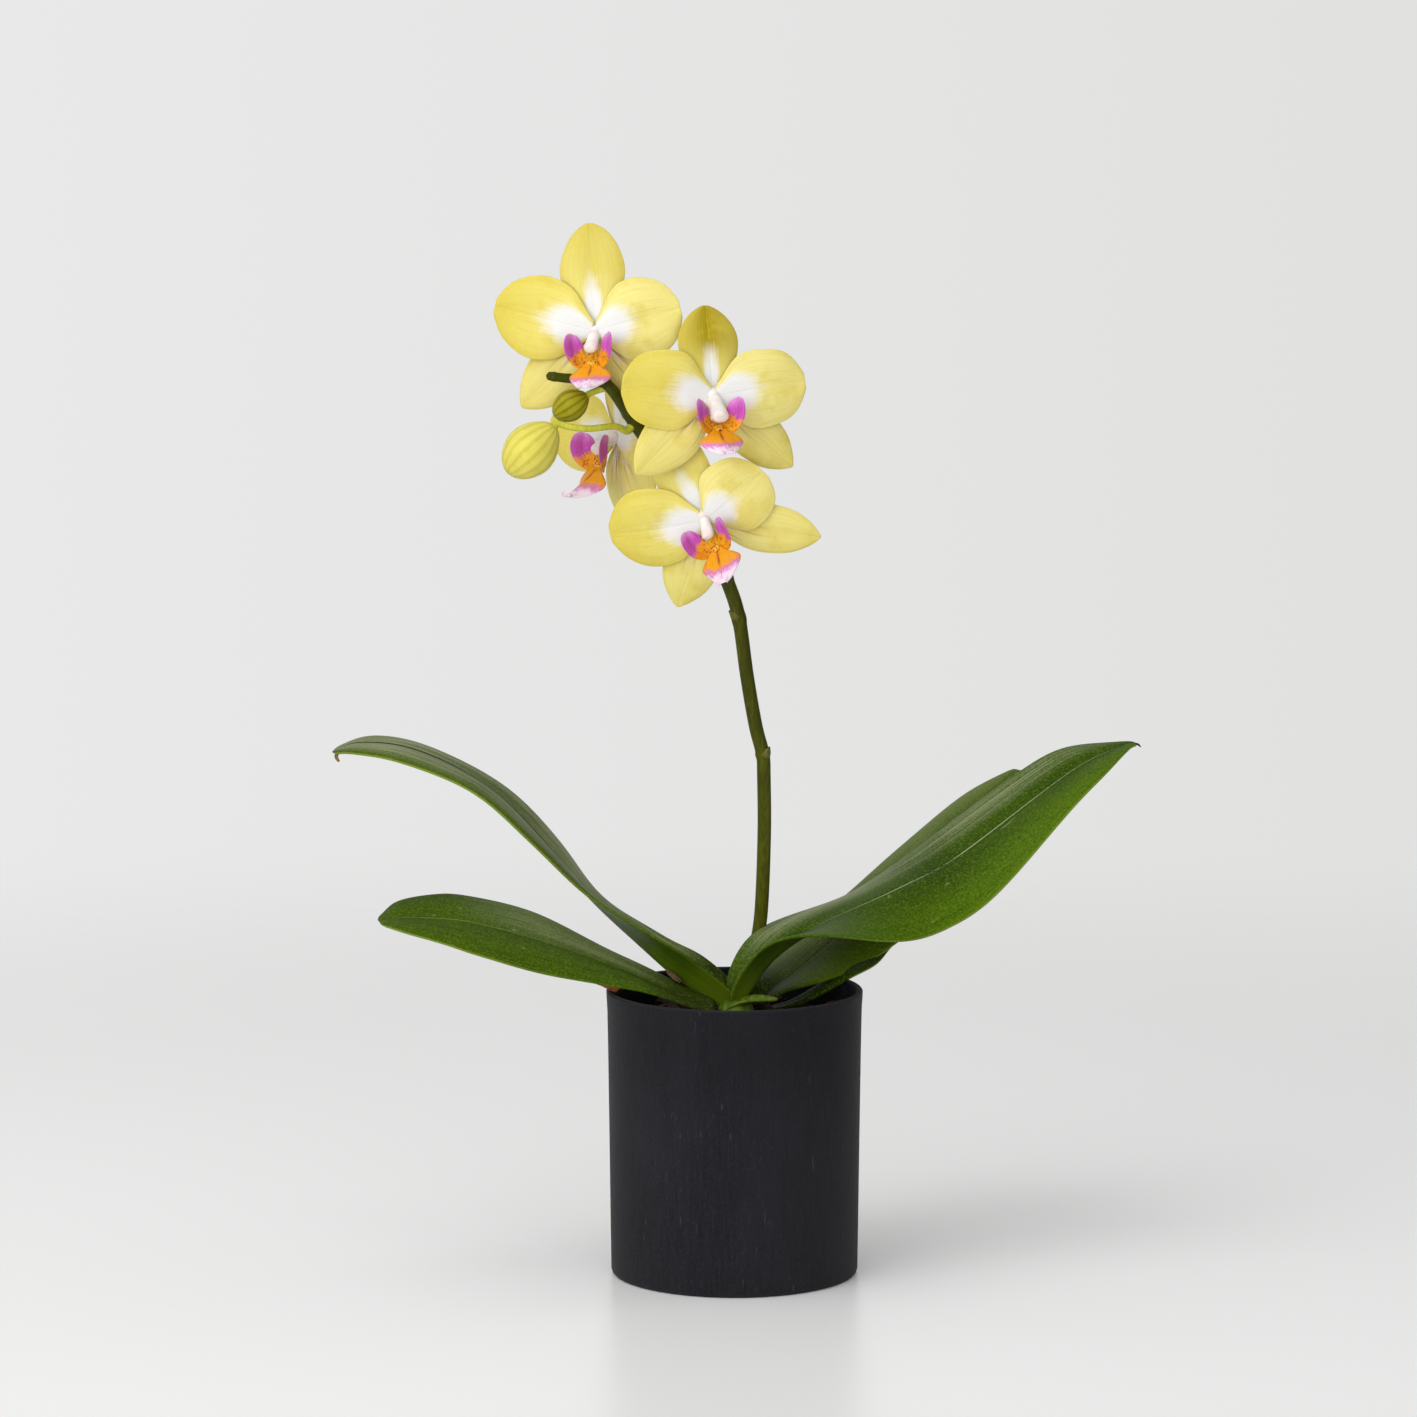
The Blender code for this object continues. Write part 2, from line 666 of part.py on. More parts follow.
def make_bud(name, plan):
    """A closed bud and its stalk."""
    start = above_rim(plan["base"])
    way = Vector(plan["way"]).normalized()
    length, radius = (size * HEAD_SCALE for size in plan["size"])
    rows = []
    for share, width in BUD_OUTLINE:
        rows.append((*(start + way * length * share), radius * width, radius * width))
    mesh = mesh_from(name, lambda bm: ring_loft(bm, rows, 10, Vector((0, 1, 0))))
    add_object(name, mesh, "bud")
    place, passing = plan["stalk"]
    via = [above_rim(point) for point in passing]
    straight = [start - way * PEDICEL_DIAMETER, start - way * GAP]
    ends = leave_spike(place, (via + straight)[0]) + via + straight
    cord(f"{name}_pedicel", smooth(ends, 13), [PEDICEL_DIAMETER / 2] * 13, "pedicel")


def main():
    clear_scene()
    make_pot()
    make_mix()
    make_crown()
    make_leaves()
    make_trim()
    make_spike()
    make_bracts()
    for name, plan in FLOWERS.items():
        make_flower(name, plan)
        make_flower_stalk(name, *FLOWER_STALKS[name], plan)
    for name, plan in BUDS.items():
        make_bud(name, plan)


main()
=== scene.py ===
"""A moth orchid in a charcoal pot: leaves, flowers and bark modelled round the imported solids.

Lengths in the tables are millimetres. Pieces are shaped at that size and brought down to metres
when they are put in place. +X is to the right of the flowers' faces, which look along -Y.
"""

import math
import random

import bmesh
import bpy
from mathutils import Euler, Matrix, Vector


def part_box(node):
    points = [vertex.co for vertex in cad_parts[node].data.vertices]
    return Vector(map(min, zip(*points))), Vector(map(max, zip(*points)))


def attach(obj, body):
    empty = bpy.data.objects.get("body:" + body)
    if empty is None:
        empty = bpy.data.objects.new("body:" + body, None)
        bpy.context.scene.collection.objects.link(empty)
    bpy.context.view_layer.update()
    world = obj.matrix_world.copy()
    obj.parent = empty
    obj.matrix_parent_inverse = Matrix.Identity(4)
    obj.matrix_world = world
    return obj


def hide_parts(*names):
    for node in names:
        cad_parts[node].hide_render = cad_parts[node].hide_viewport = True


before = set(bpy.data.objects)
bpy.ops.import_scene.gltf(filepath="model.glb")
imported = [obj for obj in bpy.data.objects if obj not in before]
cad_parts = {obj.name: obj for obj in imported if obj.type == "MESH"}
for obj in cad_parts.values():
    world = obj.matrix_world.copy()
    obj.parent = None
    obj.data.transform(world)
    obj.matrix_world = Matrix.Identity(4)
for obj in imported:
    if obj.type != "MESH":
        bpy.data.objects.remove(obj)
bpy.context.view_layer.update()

MM = 0.001
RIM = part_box("pot")[1].z / MM
BARK_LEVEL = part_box("potting_mix")[1].z / MM
NEAR = 0.01  # less than this apart is the same place

LEAF_THICKNESS = 1.5
STUB_THICKNESS = 1.2
LIP_THICKNESS = 0.8
TEPAL_THICKNESS = 0.5
SCALE_THICKNESS = 0.5  # of the bracts and the dry sheath
TAG_THICKNESS = 0.4

CAMERA_PLACE = (-0.0102, -2.227, 0.511)
CAMERA_TILT = 82.645  # degrees from straight down
CAMERA_LENS = 146.5


# ---------------------------------------------------------------- finishes


class Value:
    """One output of a node, for Python's operators to work on."""

    def __init__(self, nodes, socket):
        self.nodes = nodes
        self.socket = socket

    def maths(self, operation, other, turned=False):
        pair = (other, self) if turned else (self, other)
        return self.nodes.node("ShaderNodeMath", {"operation": operation}, dict(enumerate(pair)))

    def __add__(self, other):
        return self.maths("ADD", other)

    def __sub__(self, other):
        return self.maths("SUBTRACT", other)

    def __mul__(self, other):
        return self.maths("MULTIPLY", other)

    def __pow__(self, other):
        return self.maths("POWER", other)

    def __radd__(self, other):
        return self.maths("ADD", other, turned=True)

    def __rsub__(self, other):
        return self.maths("SUBTRACT", other, turned=True)

    def __rmul__(self, other):
        return self.maths("MULTIPLY", other, turned=True)

    def size(self):
        return self.maths("ABSOLUTE", 0)


class Nodes:
    """The nodes of a material or of the room's air."""

    def __init__(self, owner):
        owner.use_nodes = True
        self.tree = owner.node_tree

    def feed(self, socket, value):
        if isinstance(value, Value):
            self.tree.links.new(value.socket, socket)
        elif socket.type == "RGBA":
            socket.default_value = (*value, 1)
        else:
            socket.default_value = value

    def node(self, kind, settings=None, inputs=None, output=0):
        made = self.tree.nodes.new(kind)
        for key, value in (settings or {}).items():
            setattr(made, key, value)
        for key, value in (inputs or {}).items():
            self.feed(made.inputs[key], value)
        return Value(self, made.outputs[output])

    def blend(self, share, first, second):
        """The first colour, with a share of the second over it."""
        return self.node("ShaderNodeMix", {"data_type": "RGBA"}, {0: share, 6: first, 7: second}, 2)

    def end_in(self, output, shader):
        self.feed(self.tree.nodes[output].inputs["Surface"], shader)


class Finish(Nodes):
    """A material, built up node by node onto one Principled shader."""

    def __init__(self, name, **constants):
        self.material = bpy.data.materials.new(name)
        super().__init__(self.material)
        self.shader = self.tree.nodes["Principled BSDF"]
        self.paint = None
        for socket, value in constants.items():
            self.feed(self.shader.inputs[socket.replace("_", " ")], value)

    def spot(self, scale=(1, 1, 1)):
        """Where a point is in the piece's own frame, stretched along its axes."""
        place = self.node("ShaderNodeTexCoord", output="Object")
        return self.node("ShaderNodeMapping", {}, {"Vector": place, "Scale": scale})

    def lay(self):
        """How far along a blade a point is, and how far across it from the left edge."""
        spread = self.node("ShaderNodeUVMap", {"uv_map": "UVMap"})
        along = self.node("ShaderNodeSeparateXYZ", {}, {0: spread}, 0)
        return along, Value(self, along.socket.node.outputs[1])

    def noise(self, place, scale, detail, rough, twist=0.0):
        given = {"Vector": place, "Scale": scale, "Detail": detail, "Roughness": rough}
        return self.node("ShaderNodeTexNoise", {}, {**given, "Distortion": twist})

    def grain(self, scale, detail=3, rough=0.5, stretch=(1, 1, 1), twist=0.0):
        """Noise in the piece's own frame, stretched along its axes."""
        return self.noise(self.spot(stretch), scale, detail, rough, twist)

    def laid_grain(self, along, across, detail, rough):
        """Noise that follows a blade."""
        place = self.node("ShaderNodeCombineXYZ", {}, {0: along, 1: across})
        return self.noise(place, 1, detail, rough)

    def relief(self, height, depth):
        """Bumps on the surface, depth in millimetres."""
        bump = self.node("ShaderNodeBump", {}, {"Height": height, "Distance": depth * MM})
        self.feed(self.shader.inputs["Normal"], bump)

    def colour(self, value):
        self.paint = value
        self.feed(self.shader.inputs["Base Color"], value)

    def coat(self, share, over):
        """A share of another colour laid over the paint."""
        self.colour(self.blend(share, self.paint, over))

    def roughness(self, value):
        self.feed(self.shader.inputs["Roughness"], value)


def rise(value, low, high):
    """0 below low and 1 above high, and smooth between; low may be the greater."""
    settings = {"interpolation_type": "SMOOTHSTEP"}
    return value.nodes.node("ShaderNodeMapRange", settings, {0: value, 1: low, 2: high})


def stretched(value, begin, end, low, high):
    """A value carried from one stretch to another and held at its ends."""
    ends = {1: begin, 2: end, 3: low, 4: high}
    return value.nodes.node("ShaderNodeMapRange", {}, {0: value, **ends})


def pot_finish():
    """Charcoal fibre clay: brushed upright, pitted, with short pale hairs, painted shade below the
    rim and a painted highlight along the lip.
    """
    made = Finish("charcoal_pot", Specular_IOR_Level=0.3)
    strands = made.grain(1500, 3, 0.6, (1, 1, 0.05))
    clouds = made.grain(30, 4, 0.6, (1, 1, 0.4))
    pits = made.grain(1900, 3, 0.65, (1, 1, 0.45))
    hairs = rise(made.grain(1150, 1, 0.4, (1, 1, 0.13)), 0.68, 0.78)
    rare = rise(made.grain(60, 2), 0.46, 0.64)
    high = made.node("ShaderNodeSeparateXYZ", {}, {0: made.spot()}, 2)
    made.colour(made.blend(rise(strands * 0.5 + pits * 0.5, 0.38, 0.66),
                           (0.0042, 0.004, 0.0064), (0.0108, 0.0102, 0.0146)))
    made.coat(rise(clouds, 0.35, 0.7) * 0.5, (0.0145, 0.0138, 0.0188))
    made.coat(rise(pits, 0.57, 0.7) * 0.35, (0.036, 0.035, 0.04))
    made.coat(hairs * rare * 0.38, (0.08, 0.08, 0.088))
    # Painted shade: darker on the upper wall below the rim, where the leaves shade it.
    made.coat(rise(high, (RIM - 55) * MM, (RIM - 8) * MM) * 0.4, (0.0028, 0.0026, 0.0042))
    # Painted highlight: a paler line along the top of the lip.
    lip = rise(high, (RIM - 1.2) * MM, (RIM - 0.3) * MM)
    made.coat(lip * 0.35, (0.03, 0.029, 0.036))
    made.roughness(0.55 + pits * 0.2)
    made.relief(strands * 0.5 + pits * 0.7 + clouds * 0.6, 0.16)
    return made.material


def bark_finish(name, dark, pale):
    """Flaky bark: layered grain with paler torn fibres."""
    made = Finish(name, Specular_IOR_Level=0.25)
    layers = made.grain(420, 5, 0.65, (1, 1, 3), 0.6)
    flecks = made.grain(1500, 3, 0.6)
    blotch = made.grain(90, 2)
    made.colour(made.blend(rise(layers, 0.38, 0.68), dark, pale))
    made.coat(rise(blotch, 0.45, 0.7) * 0.6, dark)
    made.roughness(0.75 + flecks * 0.2)
    made.relief(layers + flecks * 0.4, 0.5)
    return made.material


def root_finish():
    """Silvery spongy skin over green, greener where it is wet."""
    made = Finish("aerial_root", Specular_IOR_Level=0.3)
    damp = made.grain(130, 3, 0.5)
    skin = made.grain(1400, 3, 0.6)
    made.colour(made.blend(rise(damp, 0.4, 0.65), (0.36, 0.36, 0.26), (0.16, 0.2, 0.06)))
    made.roughness(0.6 + skin * 0.25)
    made.relief(skin, 0.15)
    return made.material


def papery_finish(name, pale, dark):
    """Dry sheath and dead tips: thin tan skin with brown fibres."""
    made = Finish(name, Specular_IOR_Level=0.2)
    fibre = made.grain(900, 4, 0.65, (1, 1, 0.3))
    stain = made.grain(180, 3)
    made.colour(made.blend(rise(fibre * 0.6 + stain * 0.4, 0.4, 0.62), pale, dark))
    made.roughness(0.8 + fibre * 0.1)
    made.relief(fibre, 0.3)
    return made.material


def leaf_finish(name, greens, rib, painted_sheen, streaks):
    """A waxy leaf face, in deep and fresh greens, painted_half_light, which paints light and shade
    on one half of the fold, and its foot's green, partly painted shade. rib is the midrib's colour,
    strength and share of the width; the colour is partly painted light, a glint on one leaf and
    crease shade on another. painted_sheen is the strength of a painted grey sheen, a painted
    reflection, the shares across the leaf between which it grows, and the shares along it between
    which it goes.
    streaks is how strong its veins are."""
    made = Finish(name, Specular_IOR_Level=0.12)
    deep, fresh, painted_half_light, foot = greens
    along, across = made.lay()
    off = (across - 0.5).size() * 2
    veins = made.laid_grain(along * 2.4, across * 40, 4, 0.7)
    broad = made.grain(20, 2, 0.5)
    speck = made.grain(1050, 4, 0.75)
    tone = rise(broad * 0.35 + off * 0.22 + along * 0.12 + veins * streaks, 0.3, 0.72)
    made.colour(made.blend(tone, deep, fresh))
    # Painted light and shade: one half of the fold, towards the tip, in its own green, lighter
    # where that half faces the light and darker where it is turned away.
    made.coat(rise(across, 0.4, 0.0) * rise(along, 0.3, 0.6) * 0.7, painted_half_light)
    # The foot's own tint, with painted shade where the foot sits down among the other leaves.
    made.coat(rise(along, 0.3, 0.12) * 0.85, foot)
    made.coat(rise(veins, 0.47, 0.66) * streaks, [part * 0.5 for part in deep])
    made.coat(rise(speck, 0.5, 0.64) * 0.5, (0.14, 0.21, 0.012))
    made.coat(rise(speck, 0.48, 0.34) * 0.6, [part * 0.6 for part in deep])
    # Painted reflection: a grey sheen in streaky patches over the leaf face.
    share, side, reach = painted_sheen
    where = rise(across, *side) * rise(along, *reach) * rise(along, 0.14, 0.3)
    painted_sheen_patch = where * rise(veins * 0.8 + broad * 0.3 + speck * 0.2, 0.5, 0.76) * rise(off, 1.0, 0.85)
    made.coat(painted_sheen_patch * share, (0.26, 0.285, 0.15))
    # The midrib line: the rib's own pale green on most leaves, a painted glint on the front right
    # leaf, and painted crease shade on the upper left leaf.
    rib_colour, rib_share, rib_width = rib
    line = rise(off, rib_width, rib_width * 0.35) * (rise(along, 0.36, 0.6) * 0.7 + 0.3)
    line = line * rise(broad * 0.6 + speck * 0.4, 0.34, 0.5)
    made.coat(line * rib_share, rib_colour)
    # A pale margin along the edges: partly the leaf's own paler rim, partly a painted highlight.
    edge = rise(off, 0.95, 0.99) * rise(along, 0.3, 0.6)
    made.coat(edge * 0.55, (0.24, 0.32, 0.045))
    # Small pale dots: partly water marks, partly painted glints.
    marks = rise(made.laid_grain(along * 24, across * 14, 2, 0.6), 0.7, 0.77)
    made.coat(marks * rise(along, 0.3, 0.45) * 0.4, (0.3, 0.37, 0.16))
    made.roughness(0.34 + speck * 0.2 + veins * 0.06)
    groove = rise(off, 0.0, 0.05)
    made.relief(groove * 0.8 + veins * 0.35 + speck * 0.2, 0.35)
    return made.material


def leaf_under_finish():
    """The leaf's paler back."""
    made = Finish("leaf_back", Specular_IOR_Level=0.25)
    along, across = made.lay()
    veins = made.laid_grain(along * 2, across * 40, 3, 0.6)
    broad = made.grain(40, 2)
    made.colour(made.blend(rise(broad * 0.6 + veins * 0.4, 0.38, 0.64),
                           (0.028, 0.056, 0.0008), (0.06, 0.105, 0.002)))
    made.coat(rise(along, 0.2, 0.04) * 0.7, (0.1, 0.15, 0.004))
    made.roughness(0.45 + veins * 0.1)
    made.relief(veins, 0.2)
    return made.material


def crown_finish():
    made = Finish("crown_green", Specular_IOR_Level=0.4)
    fibre = made.grain(500, 3, stretch=(1, 1, 0.2))
    soft = made.grain(120, 2)
    made.colour(made.blend(rise(fibre * 0.5 + soft * 0.5, 0.4, 0.62),
                           (0.055, 0.1, 0.003), (0.13, 0.19, 0.01)))
    made.roughness(0.42 + fibre * 0.12)
    made.relief(fibre, 0.25)
    return made.material


def stem_finish(name, deep, fresh, blush):
    """A waxy stem: faint ribs along it, a flush of brown and fine dots."""
    made = Finish(name, Specular_IOR_Level=0.15)
    fibre = made.grain(1100, 3, 0.5, (1, 1, 0.08))
    patch = made.grain(55, 3, 0.5, (1, 1, 0.5))
    dots = made.grain(1900, 2, 0.5)
    made.colour(made.blend(rise(fibre * 0.4 + patch * 0.6, 0.38, 0.62), deep, fresh))
    made.coat(rise(patch, 0.5, 0.7) * 0.55, blush)
    made.coat(rise(dots, 0.6, 0.75) * 0.25, fresh)
    made.roughness(0.4 + fibre * 0.15)
    made.relief(fibre * 0.7 + dots * 0.3, 0.1)
    return made.material


def tepal_finish(name, white_reach, white_width, stripes, olive, fade):
    """A petal or sepal: soft yellow, white by the column, fine veins and a silky grain."""
    made = Finish(name, Roughness=0.5, Specular_IOR_Level=0.25, Subsurface_Weight=0.12,
                  Subsurface_Radius=(0.9, 0.7, 0.25), Subsurface_Scale=0.0012)
    along, across = made.lay()
    off = (across - 0.5).size() * 2
    wander = made.grain(95, 3, 0.55)
    veins = made.laid_grain(along * 2.5, across * 48, 3, 0.6)
    silk = made.grain(2300, 2, 0.6)
    made.colour(made.blend(rise(along + wander * 0.3, 0.35, 1.05),
                           (0.75, 0.66, 0.18), (0.66, 0.55, 0.09)))
    made.coat(rise(off + wander * 0.35, 0.75, 1.3) * 0.7, (0.62, 0.49, 0.06))
    made.coat(rise(off, 0.93, 1.0) * 0.4, (0.78, 0.69, 0.2))
    made.coat(rise(silk, 0.5, 0.7) * 0.25, (0.82, 0.76, 0.32))
    # A paler wash over the whole; the right petals' finish takes more of it than the left's, partly
    # their own paler yellow and partly painted light.
    made.coat(fade, (0.84, 0.775, 0.37))
    # Darker olive towards the tip and the middle: a slight tint on most, and painted shade on the
    # right flower's dorsal sepal, whose finish takes far more of it.
    dull = rise(along, 0.25, 0.6) * (1.15 - off * 0.7) * (0.6 + veins * 0.8)
    made.coat(dull * olive, (0.34, 0.25, 0.002))
    made.coat(rise(veins, 0.46, 0.68) * 0.34, (0.58, 0.46, 0.04))
    made.coat(rise(wander, 0.48, 0.7) * 0.45, (0.61, 0.48, 0.05))
    reach = (along**2 + (off * white_width) ** 2) ** 0.5
    reach = reach + (wander - 0.5) * 0.2 + (veins - 0.5) * 0.16
    white = rise(reach, white_reach + 0.1, white_reach - 0.12)
    made.coat(white, (0.76, 0.76, 0.74))
    lines = made.laid_grain(along * 1.3, across * 15, 1, 0.4)
    reddish = rise(lines, 0.55, 0.62) * rise(along, 0.62, 0.15) * rise(off, 0.95, 0.6)
    made.coat(reddish * stripes, (0.36, 0.17, 0.07))
    ridge = rise(off, 0.0, 0.07)
    made.relief(veins * 0.6 + silk * 0.18 + ridge * 0.35, 0.25)
    return made.material


def lip_finish():
    """The lip's middle lobe: orange claw, magenta shoulders, a pale pink edge and a red line."""
    made = Finish("lip_tongue", Roughness=0.42, Specular_IOR_Level=0.35, Subsurface_Weight=0.08,
                  Subsurface_Radius=(0.9, 0.5, 0.4), Subsurface_Scale=0.001)
    along, across = made.lay()
    off = (across - 0.5).size() * 2
    wander = made.grain(420, 3, 0.55)
    rays = made.laid_grain(along * 3, across * 26, 2, 0.5)
    out = along + off * 0.16 + (wander - 0.5) * 0.25 + (rays - 0.5) * 0.2
    made.colour(made.blend(rise(out, 0.1, 0.4), (0.82, 0.44, 0.012), (0.74, 0.31, 0.004)))
    streaks = rise(rays, 0.52, 0.66)
    made.coat(streaks * rise(along, 0.72, 0.5) * 0.55, (0.62, 0.12, 0.008))
    made.coat(rise(off, 0.75, 1.0) * rise(along, 0.75, 0.55) * 0.5, (0.6, 0.14, 0.015))
    made.coat(rise(out, 0.69, 0.8), (0.6, 0.15, 0.42))
    made.coat(rise(out, 0.77, 0.91), (0.83, 0.69, 0.79))
    made.coat(streaks * rise(along, 0.82, 0.9) * 0.5, (0.58, 0.22, 0.5))
    centre = rise(off, 0.09, 0.03) * rise(along, 0.75, 0.55)
    made.coat(centre * 0.8, (0.32, 0.035, 0.02))
    spots = rise(made.grain(900, 1, 0.4), 0.6, 0.68)
    made.coat(spots * rise(along, 0.5, 0.25) * 0.8, (0.3, 0.02, 0.015))
    made.relief(rays, 0.2)
    return made.material


def wing_finish():
    """The lip's side lobes: magenta ears with orange feet and red stripes inside."""
    made = Finish("lip_wing", Roughness=0.42, Specular_IOR_Level=0.35, Subsurface_Weight=0.08,
                  Subsurface_Radius=(0.9, 0.5, 0.6), Subsurface_Scale=0.001)
    along, across = made.lay()
    wander = made.grain(420, 3, 0.55)
    rays = made.laid_grain(along * 2, across * 20, 2, 0.5)
    out = along + (wander - 0.5) * 0.25 + (rays - 0.5) * 0.14
    made.colour(made.blend(rise(out, 0.02, 0.3), (0.82, 0.44, 0.012), (0.74, 0.3, 0.006)))
    streaks = rise(rays, 0.5, 0.66)
    made.coat(streaks * 0.5, (0.56, 0.08, 0.01))
    made.coat(rise(out, 0.34, 0.46), (0.52, 0.08, 0.41))
    made.coat(rise(out, 0.6, 0.95) * 0.65, (0.78, 0.4, 0.72))
    made.coat(streaks * rise(along, 0.4, 0.55) * 0.7, (0.33, 0.025, 0.27))
    spots = rise(made.grain(1000, 1, 0.4), 0.58, 0.66)
    made.coat(spots * rise(along, 0.62, 0.3) * 0.75, (0.33, 0.02, 0.03))
    made.relief(rays, 0.2)
    return made.material


def column_finish():
    """The column: cream, flushed pink."""
    made = Finish("column_cream", Roughness=0.45, Specular_IOR_Level=0.35, Subsurface_Weight=0.1,
                  Subsurface_Radius=(0.9, 0.6, 0.5), Subsurface_Scale=0.001)
    wander = made.grain(230, 2, 0.4)
    made.colour(made.blend(rise(wander, 0.4, 0.75), (0.78, 0.75, 0.7), (0.74, 0.6, 0.6)))
    made.relief(wander, 0.15)
    return made.material


def callus_finish():
    made = Finish("callus_gold", Roughness=0.4)
    spots = rise(made.grain(1300, 1, 0.4), 0.52, 0.6)
    made.colour(made.blend(spots, (0.78, 0.42, 0.03), (0.3, 0.03, 0.02)))
    return made.material


def bud_finish(name, pale, dark, share, count):
    """A closed bud: veins from stalk to tip over a soft skin."""
    made = Finish(name, Specular_IOR_Level=0.18, Subsurface_Weight=0.08,
                  Subsurface_Radius=(0.9, 0.8, 0.3), Subsurface_Scale=0.001)
    around, along = made.lay()
    wander = made.grain(240, 3, 0.5)
    turns = (around + (wander - 0.5) * 0.02) * (2 * math.pi * count)
    wave = turns.maths("COSINE", 0) * 0.5 + 0.5
    lines = rise(wave, 0.45, 0.95) * (0.5 + wander)
    # Darker in random patches and towards the tip.
    darker_patches_and_tip = rise(wander, 0.4, 0.7) * 0.15 + rise(along, 0.75, 1.0) * 0.2
    made.colour(made.blend(darker_patches_and_tip, pale, dark))
    made.coat(lines * share, dark)
    made.roughness(0.42 + wander * 0.15)
    made.relief(wave * 0.5 + wander * 0.3, 0.25)
    return made.material


def floor_finish():
    """Matt white studio paper that fades into the backdrop, with a faint painted glow."""
    # The emission is a painted glow over the whole paper, which lifts the shadows on it as well.
    made = Finish("studio_paper", Roughness=0.3, Specular_IOR_Level=0.35,
                  Emission_Color=(1, 1, 1), Emission_Strength=0.055)
    tooth = made.grain(3, 3, 0.5)
    made.colour(made.blend(tooth, (0.86, 0.86, 0.853), (0.875, 0.875, 0.87)))
    away = made.node("ShaderNodeVectorMath", {"operation": "LENGTH"}, {0: made.spot()}, "Value")
    gone = made.node("ShaderNodeBsdfTransparent")
    whole = Value(made, made.shader.outputs[0])
    faded = made.node("ShaderNodeMixShader", {}, {0: rise(away, *FLOOR_FADE), 1: whole, 2: gone})
    made.end_in("Material Output", faded)
    return made.material


# ---------------------------------------------------------------- the bench


def clear_hands():
    """Nothing selected, in object mode."""
    if bpy.context.mode != "OBJECT":
        bpy.ops.object.mode_set(mode="OBJECT")
    bpy.ops.object.select_all(action="DESELECT")


def take(piece):
    clear_hands()
    piece.select_set(True)
    bpy.context.view_layer.objects.active = piece


def named(name):
    """The piece that an operator has just added, ready to be shaped in edit mode."""
    piece = bpy.context.object
    piece.name = name
    piece.data.name = name
    bpy.ops.object.mode_set(mode="EDIT")
    return piece


def pick(piece, wanted):
    """Select, in edit mode, the vertices that wanted(vertex) says."""
    bpy.ops.mesh.select_all(action="DESELECT")
    bm = bmesh.from_edit_mesh(piece.data)
    for vertex in bm.verts:
        vertex.select = wanted(vertex)
    bm.select_flush_mode()
    bmesh.update_edit_mesh(piece.data)


def shift(x=0.0, y=0.0, z=0.0):
    bpy.ops.transform.translate(value=(x, y, z), orient_type="GLOBAL")


def swell(x=1.0, y=1.0, z=1.0, centre=(0, 0, 0)):
    bpy.ops.transform.resize(value=(x, y, z), orient_type="GLOBAL", center_override=centre)


def turn(degrees, axis, centre=(0, 0, 0)):
    """Right-handed about an axis; with no window the operator goes the other way."""
    bpy.ops.transform.rotate(value=-math.radians(degrees), orient_axis=axis,
                             orient_type="GLOBAL", center_override=centre)


def use(piece, kind, **settings):
    """Add a modifier and apply it."""
    take(piece)
    made = piece.modifiers.new(kind.lower(), kind)
    for key, value in settings.items():
        setattr(made, key, value)
    bpy.ops.object.modifier_apply(modifier=made.name)


def round_off(piece, levels=2):
    use(piece, "SUBSURF", levels=levels, render_levels=levels)
    bpy.ops.object.shade_smooth()


def thicken(piece, thickness, levels=2, back=0):
    """A blade given its thickness and rounded; back is how far on its back's finish is."""
    use(piece, "SOLIDIFY", thickness=thickness, offset=0, material_offset=back)
    round_off(piece, levels)


def soften(piece, degrees):
    """Smooth shading, with a crease wherever faces meet at more than an angle."""
    take(piece)
    bpy.ops.object.shade_smooth_by_angle(angle=math.radians(degrees))


def dress(piece, *finishes):
    piece.data.materials.clear()
    for finish in finishes:
        piece.data.materials.append(finish)


def set_down(piece, place):
    """From millimetres on the bench to metres in the orchid's frame, with the place in the mesh."""
    take(piece)
    piece.matrix_world = Matrix.Scale(MM, 4) @ place
    bpy.ops.object.transform_apply(location=True, rotation=True, scale=True)


def joined(name, pieces):
    take(pieces[0])
    for piece in pieces:
        piece.select_set(True)
    bpy.ops.object.join()
    pieces[0].name = name
    pieces[0].data.name = name
    return pieces[0]


def settle(piece, node, place=Matrix.Identity(4)):
    """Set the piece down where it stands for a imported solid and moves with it."""
    set_down(piece, place)
    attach(piece, "root")
    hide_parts(node)


def run_on(points):
    first = [2 * a - b for a, b in zip(points[0], points[1])]
    last = [2 * a - b for a, b in zip(points[-1], points[-2])]
    return [first, *points, last]


def between(ends, place):
    """The point at a place counted in points, on a smooth curve with one extra point each end."""
    i = min(int(place), len(ends) - 4)
    u = place - i
    row = []
    for a, b, c, d in zip(ends[i], ends[i + 1], ends[i + 2], ends[i + 3]):
        squared = (2 * a - 5 * b + 4 * c - d) * u**2
        cubed = (3 * b - a - 3 * c + d) * u**3
        row.append(b + 0.5 * ((c - a) * u + squared + cubed))
    return row


def eased(points, count):
    """count points along a smooth curve through a few."""
    ends = run_on(points)
    step = (len(points) - 1) / (count - 1)
    return [between(ends, i * step) for i in range(count)]


